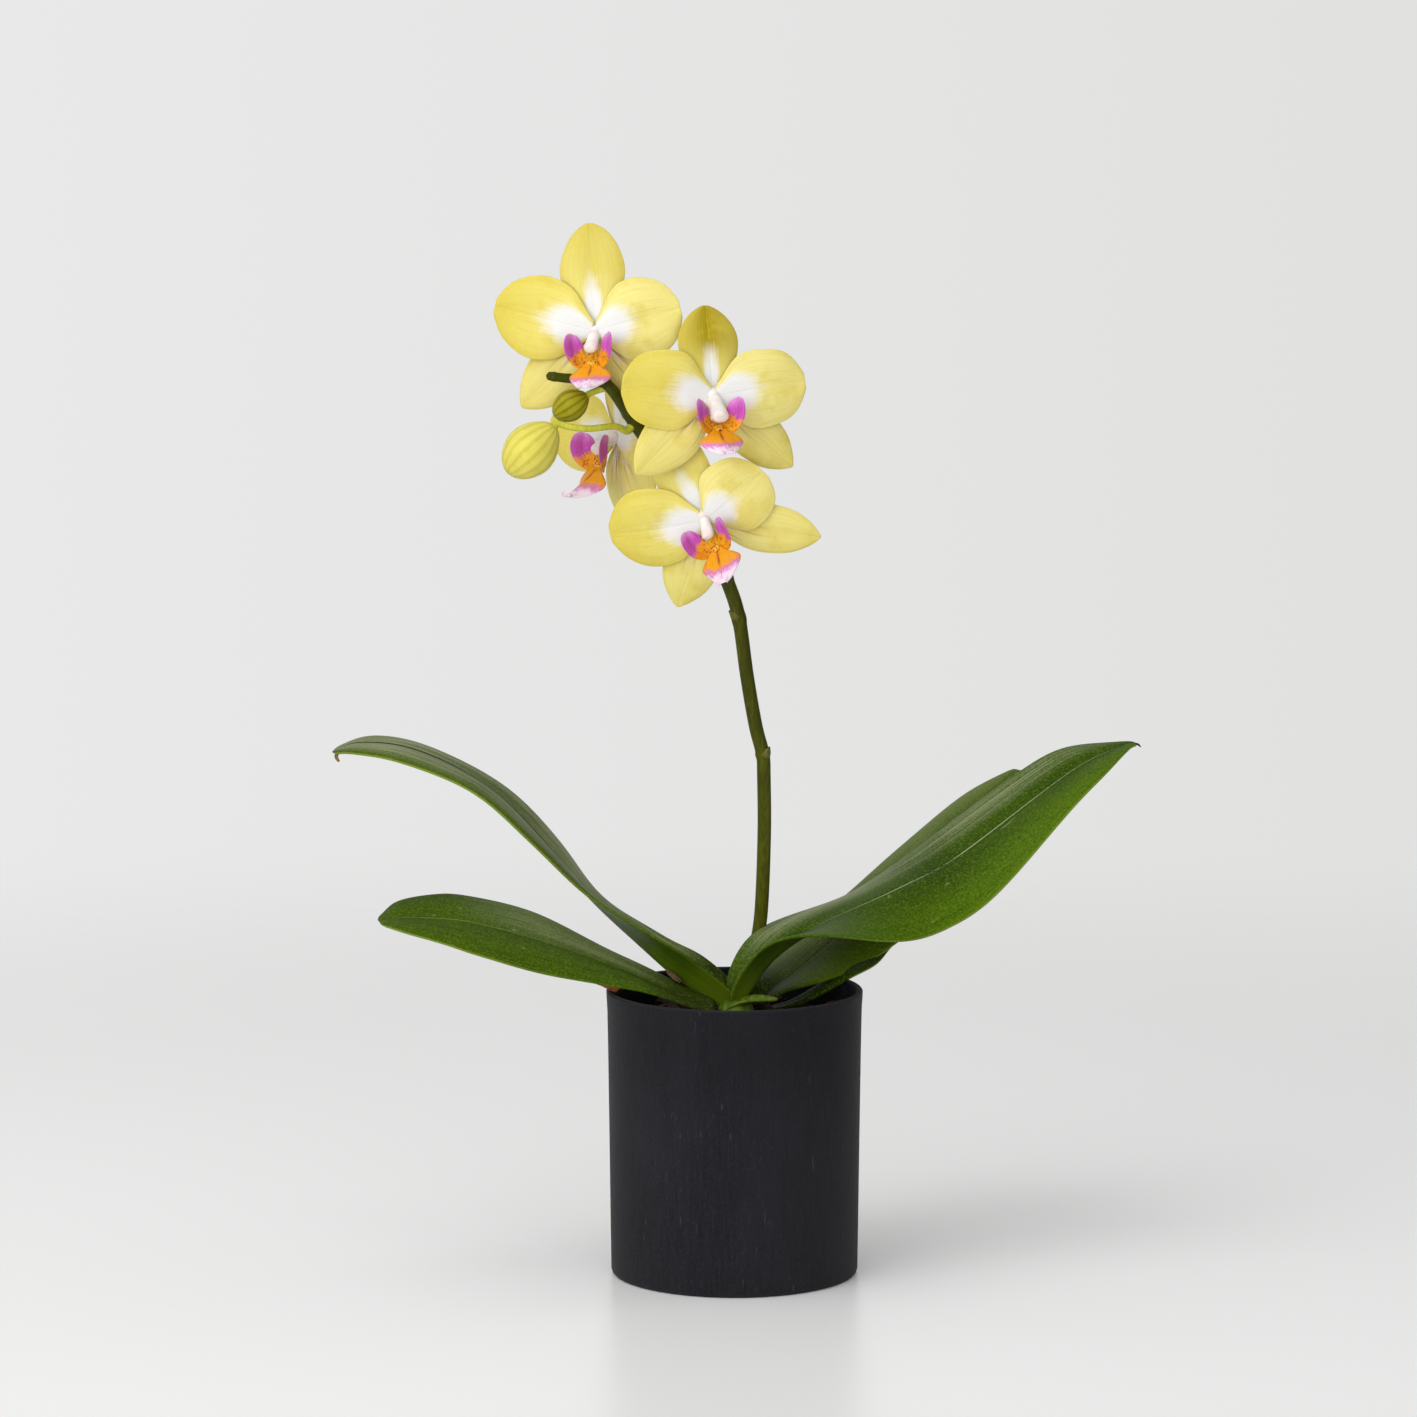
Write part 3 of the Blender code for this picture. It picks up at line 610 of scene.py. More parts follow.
def blade(name, rows, sides=4, vault=0.0, up=Vector((0, 0, 1)), notch=0.0):
    """A flat grid drawn out row by row along a midrib: each row gets its half width, its two
    halves lift from the midrib, and it swings to face along the blade. Rows are x, y, z, half
    width, left lift and right lift. vault arches each half between midrib and edge, and notch draws
    the midrib back at the tip."""
    clear_hands()
    last = len(rows) - 1
    bpy.ops.mesh.primitive_grid_add(x_subdivisions=last, y_subdivisions=2 * sides, size=1)
    piece = named(name)
    spots = [vertex.co.copy() for vertex in piece.data.vertices]
    for column in range(1, sides):
        share = column / sides
        pick(piece, lambda v, s=share: abs(abs(spots[v.index].y) * 2 - s) < NEAR)
        shift(z=0.5 * vault * math.sin(math.pi * share))
    basis = Matrix.Identity(3)
    basis.col[2] = up.normalized()
    flat_way = Vector((1, 0, 0)) if abs(up.z) > 0.9 else up.orthogonal().normalized()
    basis.col[0] = (flat_way - up * flat_way.dot(up)).normalized()
    basis.col[1] = basis.col[2].cross(basis.col[0])
    laid = [basis.transposed() @ Vector(row[:3]) for row in rows]
    for i, row in enumerate(rows):
        start = i / last - 0.5
        mine = {k for k, spot in enumerate(spots) if abs(spot.x - start) < NEAR}
        along = (laid[min(i + 1, last)] - laid[max(i - 1, 0)]).normalized()
        pick(piece, lambda v: v.index in mine)
        shift(x=-start)
        swell(y=2 * row[3], z=2 * row[3])
        if notch and i == last:
            pick(piece, lambda v: v.index in mine and abs(spots[v.index].y) < NEAR)
            shift(x=-notch)
        pick(piece, lambda v: v.index in mine and spots[v.index].y > NEAR)
        turn(row[4], "X")
        pick(piece, lambda v: v.index in mine and spots[v.index].y < -NEAR)
        turn(-row[5], "X")
        pick(piece, lambda v: v.index in mine)
        turn(-math.degrees(math.atan2(along.z, math.hypot(along.x, along.y))), "Y")
        turn(math.degrees(math.atan2(along.y, along.x)), "Z")
        shift(*laid[i])
    take(piece)
    piece.matrix_world = basis.to_4x4()
    bpy.ops.object.transform_apply(location=True, rotation=True, scale=True)
    return piece


def stalk(name, points, radii, sides=5):
    """A round stalk through points with a radius at each, closed at both ends."""
    clear_hands()
    curve = bpy.data.curves.new(name, "CURVE")
    curve.dimensions = "3D"
    curve.bevel_depth = 1
    curve.bevel_resolution = sides
    curve.use_fill_caps = True
    line = curve.splines.new("POLY")
    line.points.add(len(points) - 1)
    for spot, place, radius in zip(line.points, points, radii):
        spot.co = (*place, 1)
        spot.radius = radius
    piece = bpy.data.objects.new(name, curve)
    bpy.context.scene.collection.objects.link(piece)
    take(piece)
    bpy.ops.object.convert(target="MESH")
    bpy.ops.object.mode_set(mode="EDIT")
    bpy.ops.mesh.select_all(action="SELECT")
    bpy.ops.mesh.remove_doubles(threshold=NEAR)
    bpy.ops.mesh.normals_make_consistent(inside=False)
    soften(piece, 50)
    return piece


def drawn_up(name, sides, foot, rings, base=0.0):
    """A disc drawn up ring by ring into a round piece; each ring is a radius and a height."""
    clear_hands()
    bpy.ops.mesh.primitive_circle_add(vertices=sides, radius=foot, fill_type="NGON",
                                      location=(0, 0, base))
    bpy.ops.object.transform_apply(location=True)
    piece = named(name)
    radius, height = foot, base
    for wide, high in rings:
        rising = {"value": (0, 0, high - height)}
        bpy.ops.mesh.extrude_region_move(TRANSFORM_OT_translate=rising)
        swell(wide / radius, wide / radius, 1, (0, 0, high))
        radius, height = wide, high
    bpy.ops.mesh.select_all(action="SELECT")
    bpy.ops.mesh.normals_make_consistent(inside=False)
    return piece


def above_rim(point):
    return Vector(point) + Vector((0, 0, RIM))


def rows_above_rim(stations, count):
    """A blade's rows, count of them, from stations whose heights are above the rim."""
    return [(x, y, z + RIM, *rest) for x, y, z, *rest in eased(stations, count)]


# ---------------------------------------------------------------- pot and bark

# The pot's rings, up its wall, over its lip and down inside: each one's radius and height.
POT_FOOT = 46.8
POT_RINGS = (
    (47.6, 0.25), (48.2, 0.9), (48.5, 2.0), (48.75, 20), (49.15, 55), (49.6, 90), (49.85, 104),
    (50.0, 107.5), (50.2, 110.5), (50.25, 112.2), (49.75, 112.8), (49.3, 113), (48.7, 112.95),
    (48.25, 112.7), (48.0, 112), (47.9, 108), (47.75, 100), (47.2, 60), (46.6, 6), (45, 3.2),
    (42, 3),
)
# The bed of bark: how high its underside is, the underside's radius, and the rings above it.
BED_BASE = 3.3
BED_FOOT = 45.5
BED_RINGS = ((46.4, 5), (47.4, 92), (46.8, 96.5), (44, 98.5), (30, 99), (15, 99.5))
# The shapes that the loose chips are copied from: length, width, thickness, seed and finish.
CHIP_SHAPES = (
    (15, 8, 4, 3, "bark_red"), (11, 9, 5, 5, "bark"), (18, 6, 3.5, 8, "bark_red"),
    (8, 6, 4, 13, "bark"),
)
CHIP_LAYERS = ((46, 99.5), (40, 101.5))  # how many chips lie in each, and how high
CHIP_REACH = 41.5  # how far out from the middle they lie, at most
CHIP_CLEARING = 12  # and at least
CHIP_LEAN = 0.35  # radians
CHIPS_BY_WALL = 36  # past this far out they are smaller
GOLDEN_TURN = 2.39996  # radians from each chip to the next


def make_pot():
    """A straight cup thrown from a disc."""
    piece = drawn_up("pot_cup", 160, POT_FOOT, POT_RINGS)
    soften(piece, 40)
    dress(piece, FINISHES["pot"])
    settle(piece, "pot")


def bark_piece(name, length, wide, thick, seed):
    """One chip: a block with chamfered, uneven edges."""
    chance = random.Random(seed)
    clear_hands()
    bpy.ops.mesh.primitive_cube_add(size=1)
    piece = named(name)
    swell(length, wide, thick)
    bpy.ops.mesh.subdivide(number_cuts=1)
    for corner in range(8):
        pick(piece, lambda v, i=corner: v.index == i)
        shift(chance.uniform(-0.12, 0.12) * length, chance.uniform(-0.14, 0.14) * wide,
              chance.uniform(-0.18, 0.18) * thick)
    use(piece, "BEVEL", width=0.1 * thick, segments=1, limit_method="ANGLE",
        angle_limit=math.radians(25))
    soften(piece, 35)
    return piece


def make_bark():
    """A bed of bark under loose chips that fill the pot to just below its rim."""
    bed = drawn_up("bark_bed", 64, BED_FOOT, BED_RINGS, BED_BASE)
    take(bed)
    bpy.ops.object.shade_smooth()
    dress(bed, FINISHES["bark"])
    moulds = []
    for number, (*shape, finish) in enumerate(CHIP_SHAPES):
        mould = bark_piece(f"bark_mould_{number}", *shape)
        dress(mould, FINISHES[finish])
        moulds.append(mould)
    chance = random.Random(21)
    chips = []
    for layer, (count, low) in enumerate(CHIP_LAYERS):
        for number in range(count):
            mould = moulds[(number + layer) % len(moulds)]
            chip = mould.copy()
            chip.data = mould.data.copy()
            bpy.context.scene.collection.objects.link(chip)
            out = max(CHIP_CLEARING, CHIP_REACH * math.sqrt((number + 0.5) / count))
            angle = number * GOLDEN_TURN + layer
            height = low + chance.uniform(-1, 1.2)
            chip.location = (out * math.cos(angle), out * math.sin(angle), height)
            chip.rotation_euler = (chance.uniform(-CHIP_LEAN, CHIP_LEAN),
                                   chance.uniform(-CHIP_LEAN, CHIP_LEAN), chance.uniform(0, 6.3))
            size = chance.uniform(0.65, 1.0) * (0.8 if out > CHIPS_BY_WALL else 1)
            chip.scale = (size, size, size)
            chips.append(chip)
    clear_hands()
    for mould in moulds:
        bpy.data.objects.remove(mould)
    for chip in chips:
        take(chip)
        bpy.ops.object.transform_apply(location=True, rotation=True, scale=True)
    whole = joined("bark_mix", [bed, *chips])
    settle(whole, "potting_mix")


# ---------------------------------------------------------------- leaves

# Each leaf's midrib from base to tip: x, y, height above the rim, half width, and the lifts of
# its left and right halves, seen from the base.
LEAVES = {
    "leaf_upper_left": (
        (-3, -2, -9, 11, 66, 47), (-11, 0, -5.5, 14.5, 63, 47), (-24, 4, 3.5, 16, 58, 41),
        (-37, 8, 15, 13, 49, 22), (-56, 16, 32, 14.5, 23, -10), (-75, 24, 53, 18.5, 13, -7),
        (-97, 33, 74, 19.5, 6, -7), (-126, 44, 87.5, 16.5, -8, -4), (-147, 52, 89.5, 11.5, -13, 8),
        (-157, 56, 87, 6, -12, 10), (-160, 57, 85.5, 1, -10, 10),
    ),
    "leaf_lower_left": (
        (-8, -7, -7, 6, -5, 26), (-18, -8, -4, 9, -5, 24), (-34, -11, 4, 12, -12, 22),
        (-48, -15, 11, 14, -26, 22), (-75, -25, 22.5, 18.5, -36, 31), (-100, -35, 31, 19, -33, 28),
        (-113, -40, 33.5, 17, -28, 27), (-127, -46, 35, 12, -22, 24), (-134, -48, 34.5, 6, -14, 14),
        (-136, -48.5, 34, 2.2, -10, 10),
    ),
    "leaf_front_right": (
        (2, -3, -8, 7, 62, 75), (6, -1, -2, 11, 58, 72), (12, 2.5, 6, 14, 46, 60),
        (19, 6, 13, 17, 28, 38), (34, 14, 22.5, 21, 4, -6), (54, 25, 30, 25, -6, -34),
        (70, 35, 36, 26.5, -4, -38), (89, 47, 44, 25.5, 5, -31), (124, 67, 67, 19.7, 17, -12),
        (142, 77, 78, 14, 25, -11), (158, 86, 84, 4, 14, -10), (163, 88, 84.5, 1, 10, -10),
    ),
    "leaf_back_right": (
        (7, 2, -8, 6, 30, 20), (14, 10, -3, 10, 20, 8), (25, 23, 2.5, 14, 8, -10),
        (39.5, 42, 11.5, 18, 2, -26), (60, 64, 25.5, 22, -6, -20), (81, 85, 42, 20.5, -6, -20),
        (102, 104, 59.5, 14, -4, -18), (117, 118, 70, 2, 0, -10),
    ),
    "leaf_low_right": (
        (14, 7.5, -10, 2.5, 4, 0), (24, 12.5, -8, 3.2, 2, -8), (35, 19, -3, 3.6, 0, -20),
        (44, 25, 1.9, 4.2, 0, -20), (52, 35, 5, 5.2, -4, -16), (58, 46, 8.5, 4.4, -6, -14),
        (66, 58, 11, 1.5, 0, -6),
    ),
}


def leaf_end(name):
    """What is left at a leaf's tip: a dried tag, or a small dark hook."""
    if name == "leaf_upper_left":
        stations = ((-158, 56.2, 85.5, 0.9, 20, 30), (-158.6, 56.4, 84.2, 1.3, 20, 30),
                    (-158.2, 56.2, 82.8, 1, 20, 30), (-157.6, 56, 82, 0.4, 20, 30))
        tag = blade("dried_tag", rows_above_rim(stations, 7), sides=3, vault=0.2,
                    up=Vector((-0.8, -0.6, 0)))
        dress(tag, FINISHES["papery"])
        thicken(tag, TAG_THICKNESS)
        return [tag]
    if name == "leaf_front_right":
        points = ((161, 87.5, 84.5), (163.5, 88.3, 84.6), (165, 88.8, 83.4))
        path = [above_rim(point) for point in eased(points, 9)]
        hook = stalk("dark_hook", path, [0.75 * (1 - 0.7 * i / 8) for i in range(9)], 3)
        dress(hook, FINISHES["withered"])
        return [hook]
    return []


def make_leaves():
    for name, stations in LEAVES.items():
        rows = rows_above_rim(stations, 30)
        notch = 1.8 if name == "leaf_lower_left" else 0
        leaf = blade(f"{name}_blade", rows, sides=5, vault=0.08, notch=notch)
        dress(leaf, FINISHES[name], FINISHES["leaf_back"])
        thicken(leaf, LEAF_THICKNESS, back=1)
        whole = joined(f"{name}_blade", [leaf, *leaf_end(name)])
        settle(whole, name)


CROWN_BASE = 99.0
CROWN_FOOT = 6.5
CROWN_RINGS = ((7.3, 101.5), (7.3, 105), (6.4, 107.6), (4.6, 109.4), (1.8, 110.2))
# Stubs of old leaves round the crown, in the form of LEAVES.
CROWN_STUBS = (
    ((-2, -5, -10, 4, 50, 40), (3.5, -7, -5.8, 4.6, 44, 30), (10, -8.5, -3.8, 3.8, 34, 16),
     (17, -9.5, -2.8, 0.8, 14, 6)),
    ((0, 3, -10, 5, 40, 40), (2, 7, -4, 5.5, 45, 45), (4, 10, 0, 3.4, 40, 40),
     (5, 12, 2, 0.8, 30, 30)),
)


def make_crown():
    """The short stem in the middle, with the stubs of old leaf bases round it."""
    stem = drawn_up("crown_stem", 24, CROWN_FOOT, CROWN_RINGS, CROWN_BASE)
    shift(x=0.5, y=-2.2)
    round_off(stem, 1)
    parts = [stem]
    for number, stations in enumerate(CROWN_STUBS):
        stub = blade(f"crown_stub_{number}", rows_above_rim(stations, 9), sides=3, vault=0.1)
        thicken(stub, STUB_THICKNESS, 1)
        parts.append(stub)
    whole = joined("crown_base", parts)
    dress(whole, FINISHES["crown"])
    settle(whole, "crown")


# The two roots that lie over the bark: points along each, with heights above it.
ROOTS = {
    "root_left": ((-8, -9.5, 0), (-17, -17, 0.5), (-27, -21.5, 2.5), (-35, -18, 1)),
    "root_front": ((3, -9.5, 0), (10, -18, 1), (22, -25, 0.5), (33, -24, 0)),
}
ROOT_RADIUS = 2.1
SHEATH = ((-21, -3.4, 3, 0.6, -45, 45), (-23, -2.4, 4.4, 1.1, -48, 40),
          (-25.2, -1.1, 6, 1, -40, 48), (-26.8, 0, 7.6, 0.4, -30, 50))
RIM_CHIP_OFF = (-6.5, -4, 2.2)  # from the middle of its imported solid
RIM_CHIP_TILT = (0, 20, -8)  # degrees


def make_trim():
    """Roots over the bark, the dry sheath, and the chip of bark on the rim."""
    floor = BARK_LEVEL + 2.2
    for name, points in ROOTS.items():
        path = [(x, y, floor + z) for x, y, z in eased(points, 28)]
        radii = [ROOT_RADIUS * (1 - 0.3 * i / 27 + 0.06 * math.sin(i * 0.9)) for i in range(28)]
        root = stalk(f"{name}_aerial", path, radii)
        dress(root, FINISHES["root"])
        settle(root, name)
    sheath = blade("dry_sheath_skin", rows_above_rim(SHEATH, 12), sides=3, vault=0.25)
    dress(sheath, FINISHES["sheath"])
    thicken(sheath, SCALE_THICKNESS)
    settle(sheath, "dry_sheath")
    chip = bark_piece("rim_bark", 15, 8.5, 3.2, 4)
    dress(chip, FINISHES["bark_orange"])
    low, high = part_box("bark_chip")
    middle = (low + high) / 2 / MM + Vector(RIM_CHIP_OFF)
    tilt = Euler([math.radians(a) for a in RIM_CHIP_TILT]).to_matrix().to_4x4()
    place = Matrix.Translation(middle) @ tilt
    settle(chip, "bark_chip", place)


# ---------------------------------------------------------------- spike

# The spike from the crown to its tip: x, y and height above the rim.
SPIKE_PATH = (
    (4, 19, -11.5), (7.5, 20, 8), (10.5, 21, 26), (11.7, 15, 58), (11.5, 10, 82),
    (11, 8.5, 91.5), (8.2, 6, 103), (4.8, 2, 123), (1.6, -1, 146), (-2.6, -4, 160),
    (-11.9, -8, 182), (-24.3, -11, 203), (-35.6, -17, 219), (-43.6, -20.5, 231.5),
    (-47.5, -21.5, 236.8), (-51, -22.3, 239.4), (-57, -23, 240.6), (-64.7, -23.6, 241),
    (-72.3, -24.2, 242),
)
SPIKE_RADII = (2.7, 1.5)  # at its foot and at its tip
SPIKE_STEPS = 190
SPIKE_END = 0.18  # how much of the tip is rounded off, in points of the path
# Where each joint of the spike is, counted in the path's points.
JOINTS = (5.0, 8.0, 9.6, 10.7, 11.3, 12.3, 12.6, 14.5, 17.6)
JOINT_REACH = 0.1
JOINT_SWELLING = 0.13  # a share of the radius
# Each bract: where it clasps the spike, counted the same way, and the side it is on.
BRACTS = {"bract_node": (4.88, 1), "bract_upper": (7.95, -1)}
BRACT_LENGTH = 4.2


def spike_point(place):
    return above_rim(between(run_on(SPIKE_PATH), place))


def spike_radius(place):
    last = len(SPIKE_PATH) - 1
    share = max(0, (place - last / 2) / (last - last / 2))
    return SPIKE_RADII[0] * (1 - share) + SPIKE_RADII[1] * share


def make_spike():
    last = len(SPIKE_PATH) - 1
    places = [step * last / SPIKE_STEPS for step in range(SPIKE_STEPS + 1)]
    radii = []
    for place in places:
        near = sum(math.exp(-(((place - joint) / JOINT_REACH) ** 2)) for joint in JOINTS)
        swelling = 1 + JOINT_SWELLING * min(1, near)
        stout = 1.12 if place > 9 else 1
        end = math.sqrt(max(0.05, 1 - (max(0, place - last + SPIKE_END) / SPIKE_END) ** 2))
        radii.append(spike_radius(place) * stout * end * swelling)
    spike = stalk("spike_stem", [spike_point(p) for p in places], radii, sides=7)
    dress(spike, FINISHES["spike"])
    settle(spike, "flower_spike")
    for node, (place, side) in BRACTS.items():
        make_bract(node, place, side)


def make_bract(node, place, side):
    """A small scale that clasps the spike below a joint."""
    base = spike_point(place)
    along = (spike_point(place + 0.2) - base).normalized()
    out = Vector((side, -0.5, 0)).normalized()
    off = spike_radius(place) + 0.3
    rows = []
    for share, half, spread in ((0, 3.2, -0.4), (0.3, 3.6, 0), (0.7, 2.6, 0.2), (1, 0.5, 0.6)):
        middle = base + along * BRACT_LENGTH * share + out * (off + spread)
        rows.append((*middle, half, -42, -42))
    piece = blade(f"{node}_scale", eased(rows, 8), sides=3, vault=0.25, up=out)
    dress(piece, FINISHES["bract"])
    thicken(piece, SCALE_THICKNESS)
    settle(piece, node)


def leave_spike(place, toward):
    """Two points straight out of the spike's side, towards a point."""
    middle = spike_point(place)
    along = (spike_point(place + 0.1) - middle).normalized()
    out = Vector(toward) - middle
    out = (out - along * out.dot(along)).normalized()
    return [middle + out * (spike_radius(place) - 0.4), middle + out * (spike_radius(place) + 2.6)]


# ---------------------------------------------------------------- flowers

# Each flower: centre above the rim; nod, roll and turn in degrees; and each organ's direction in
# the flower's plane (0 right, 90 up), length, half width, how far its tip sweeps back, and how
# much its edges bend back. The lip has its drop, how steeply its lobes fall, the degrees that it
# hangs, its size and the column's size.
FLOWERS = {
    "flower_top": {
        "centre": (-53.7, -15, 258.4),
        "turn": (-4, -4, -13),
        "lip": (-2.3, 1, 0, 1, 0.84),
        "organs": {
            "dorsal_sepal": (91, 41.5, 13, 1, -9),
            "lateral_sepal_left": (-139, 42, 11.5, 2.5, -8),
            "lateral_sepal_right": (-50, 40, 11.5, 2.5, -8),
            "petal_left": (163, 40.8, 15.9, 0.5, -5),
            "petal_right": (11, 35, 16, 0.5, -5),
        },
    },
    "flower_right": {
        "centre": (-8.5, -35, 235),
        "turn": (-4, -2, 13),
        "lip": (-2.3, 1, 0, 1, 1.05),
        "organs": {
            "dorsal_sepal": (90.5, 34.5, 12, 4, -8),
            "lateral_sepal_left": (-138, 42, 11, 0.5, -8),
            "lateral_sepal_right": (-43, 42, 10.5, 2.5, -8),
            "petal_left": (170, 36, 15.5, 0.5, -5),
            "petal_right": (6, 36.5, 15, 0.5, -5),
        },
    },
    "flower_low": {
        "centre": (-11.2, -30, 187.5),
        "turn": (18, -27, -8),
        "lip": (0, 1, 0, 1, 0.75),
        "organs": {
            "dorsal_sepal": (90, 39.5, 12, 8, -8),
            "lateral_sepal_left": (-136, 41, 11, 2.5, -8),
            "lateral_sepal_right": (-38, 44.5, 10.8, 2.5, -8),
            "petal_left": (163, 38, 16.5, 0.5, -5),
            "petal_right": (14.5, 30.8, 15.2, 0.5, -5),
        },
    },
    "flower_back": {
        "centre": (-45.5, 15, 214.5),
        "turn": (-4, 0, -55),
        "lip": (0.5, 1.5, 8, 1.1, 0.95),
        "organs": {
            "dorsal_sepal": (98, 39, 12.5, 4, -8),
            "lateral_sepal_left": (-98, 33, 10, 7, -8),
            "lateral_sepal_right": (-52, 36, 11.5, 1, -8),
            "petal_left": (177, 42, 15.5, -3, -5),
            "petal_right": (14, 31, 15, 1.5, -5),
        },
    },
}
# Each outline: how far along, and what share of the half width it has there.
OUTLINES = {
    "dorsal": ((0, 0.26), (0.12, 0.48), (0.3, 0.83), (0.52, 1), (0.75, 0.89), (0.92, 0.54),
               (1, 0.1)),
    "lateral": ((0, 0.26), (0.12, 0.48), (0.3, 0.84), (0.5, 1), (0.75, 0.84), (0.92, 0.4),
                (1, 0.03)),
    "petal": ((0, 0.22), (0.1, 0.47), (0.25, 0.85), (0.43, 1), (0.68, 0.98), (0.88, 0.7),
              (1, 0.2)),
}
ORGAN_START = 1.0  # how far from the flower's middle
# How far petals and sepals stand off the flower's plane, how high they arch, how many degrees
# their rims wave, and how each half is vaulted.
PETAL_FORM = (1.2, 1.4, 3.5, 0.07)
SEPAL_FORM = (-1.2, 0.9, 2, 0.1)

# The lip and the column in the flower's frame.
LIP_TONGUE = (
    (0, -3.6, -5.2, 1.8, 20, 20), (0, -5.8, -9.5, 2.7, 30, 30), (0, -8.4, -11.6, 3.2, 14, 14),
    (0, -10.4, -12.8, 7.0, -6, -6), (0, -12, -13.6, 9.0, -14, -14),
    (0, -15.4, -15.6, 6.8, -24, -24), (0, -19, -17.8, 4.2, -24, -24),
    (0, -21.4, -19.2, 2.2, -12, -12),
)
LIP_WING = (
    (1, -6.2, -10.8, 1.8, 0, 0), (4.2, -7.4, -9.4, 3.4, 8, 8), (6.8, -8.4, -6.4, 4.7, 16, 16),
    (7.7, -8.6, -2.8, 4.9, 18, 18), (7.4, -8.2, 0.2, 3.6, 12, 12), (7.1, -8, 1.4, 1.4, 8, 8),
)
LIP_WHISKER = ((1.2, -20.6, -18.7), (1.9, -21.9, -19.3), (2.5, -22, -18.4), (2.2, -21.4, -17.8))
LIP_HINGE = (0, -8, -11)
CALLUS_PLACE = (0, -7.6, -10.2)
COLUMN_FOOT = 2.4
COLUMN_RINGS = ((3.1, 0.6), (2.9, 2.2), (2.7, 4.4), (2.8, 6.8), (3.0, 9), (3.0, 10.6), (2.5, 11.6),
                (1.3, 12.1))
COLUMN_BASE = (0, -1.5, 0.8)
COLUMN_NOD = 125  # degrees, forward from straight up

# Where each stalk leaves the spike, and the points that it passes on its way.
FLOWER_STALKS = {
    "flower_top": (12.6, ((-38.5, -8, 230), (-41, -3, 241), (-49, -4, 254))),
    "flower_right": (11.3, ((-23, -16, 212), (-15, -22, 224), (-11, -26, 232))),
    "flower_low": (9.6, ((-9.5, -12, 183), (-10.5, -17, 187))),
    "flower_back": (10.7, ((-20, -2, 202), (-25, 10, 207), (-34, 20, 211))),
}


def organ_frame(angle):
    """Local X along the organ and local Z out of the flower's face."""
    along, aside = math.cos(math.radians(angle)), math.sin(math.radians(angle))
    turned = Matrix.Identity(4)
    for k, axis in enumerate(((along, 0, aside), (-aside, 0, along), (0, -1, 0))):
        turned.col[k][:3] = axis
    return turned


def tepal(name, plan, shape, finish):
    """A petal or sepal, lying face up along X: arched from base to tip, its rim a little wavy."""
    _, length, half, sweep, cup = plan
    lift, arch, waving, vault = PETAL_FORM if shape == "petal" else SEPAL_FORM
    chance = random.Random(name)
    phase = chance.uniform(0, 6.3)
    rows = []
    for share, wide in eased(OUTLINES[shape], 15):
        wave = math.sin(phase + share * 7) * waving
        wide *= 1 + 0.02 * math.sin(2 * phase + share * 11) + chance.uniform(-0.012, 0.012)
        height = lift + arch * math.sin(math.pi * min(1, share * 1.1)) - sweep * share**2
        x = ORGAN_START + (length - ORGAN_START) * share
        rows.append((x, 0, height, half * wide, cup + wave, cup - wave * 0.7))
    piece = blade(name, rows, sides=4, vault=vault)
    dress(piece, finish)
    thicken(piece, TEPAL_THICKNESS)
    return piece


def make_lip(name, keel):
    """Middle lobe, two side lobes, two whiskers at the tip and the callus between the lobes."""
    rows = []
    for row in LIP_TONGUE:
        lifts = [lift * keel if lift < 0 else lift for lift in row[4:]]
        rows.append((*row[:4], *lifts))
    tongue = blade(f"{name}_tongue", eased(rows, 14), sides=3, vault=0.05,
                   up=Vector((0, -0.6, 0.8)))
    dress(tongue, FINISHES["lip"])
    thicken(tongue, LIP_THICKNESS)
    made = [tongue]
    for side in (-1, 1):
        rows = [(side * x, *rest) for x, *rest in eased(LIP_WING, 11)]
        up = Vector((-side, -0.8, 0)).normalized()
        wing = blade(f"{name}_wing", rows, sides=3, vault=0.1, up=up)
        dress(wing, FINISHES["lip_wing"])
        thicken(wing, LIP_THICKNESS)
        path = eased([(side * x, y, z) for x, y, z in LIP_WHISKER], 12)
        whisker = stalk(f"{name}_whisker", path, [0.4 * (1 - 0.6 * i / 11) for i in range(12)], 3)
        dress(whisker, FINISHES["lip_tip"])
        made += [wing, whisker]
    clear_hands()
    bpy.ops.mesh.primitive_uv_sphere_add(segments=20, ring_count=12, radius=1.6,
                                         location=CALLUS_PLACE)
    bpy.ops.object.transform_apply(location=True)
    callus = named(f"{name}_callus")
    swell(1.15, 1, 0.8, CALLUS_PLACE)
    pick(callus, lambda v: v.co.z > -9.6)
    swell(1.3, 0.8, 1.25, CALLUS_PLACE)
    take(callus)
    bpy.ops.object.shade_smooth()
    dress(callus, FINISHES["callus"])
    return joined(f"{name}_parts", [*made, callus])


def make_column(name, size):
    """The column, standing up: hollow towards the lip, with a knob at its foot and a cap."""
    piece = drawn_up(name, 16, COLUMN_FOOT, COLUMN_RINGS)
    pick(piece, lambda v: 5 < v.co.z < 10 and v.co.y < -1.2)
    shift(y=1.4)
    pick(piece, lambda v: v.co.z > 5)
    swell(1.12, 0.85, 1, (0, 0, 8))
    bpy.ops.mesh.select_all(action="DESELECT")
    bpy.ops.mesh.primitive_uv_sphere_add(segments=16, ring_count=8, radius=3.3,
                                         location=(0, 0, -2.6))
    dress(piece, FINISHES["column"], FINISHES["anther"])
    pick(piece, lambda v: v.co.z > 10)
    piece.active_material_index = 1
    bpy.ops.object.material_slot_assign()
    bpy.ops.mesh.select_all(action="SELECT")
    swell(size, size, size)
    round_off(piece, 2)
    return piece


def flower_frame(plan):
    turned = Euler([math.radians(a) for a in plan["turn"]], "YXZ")
    return Matrix.Translation(above_rim(plan["centre"])) @ turned.to_matrix().to_4x4()


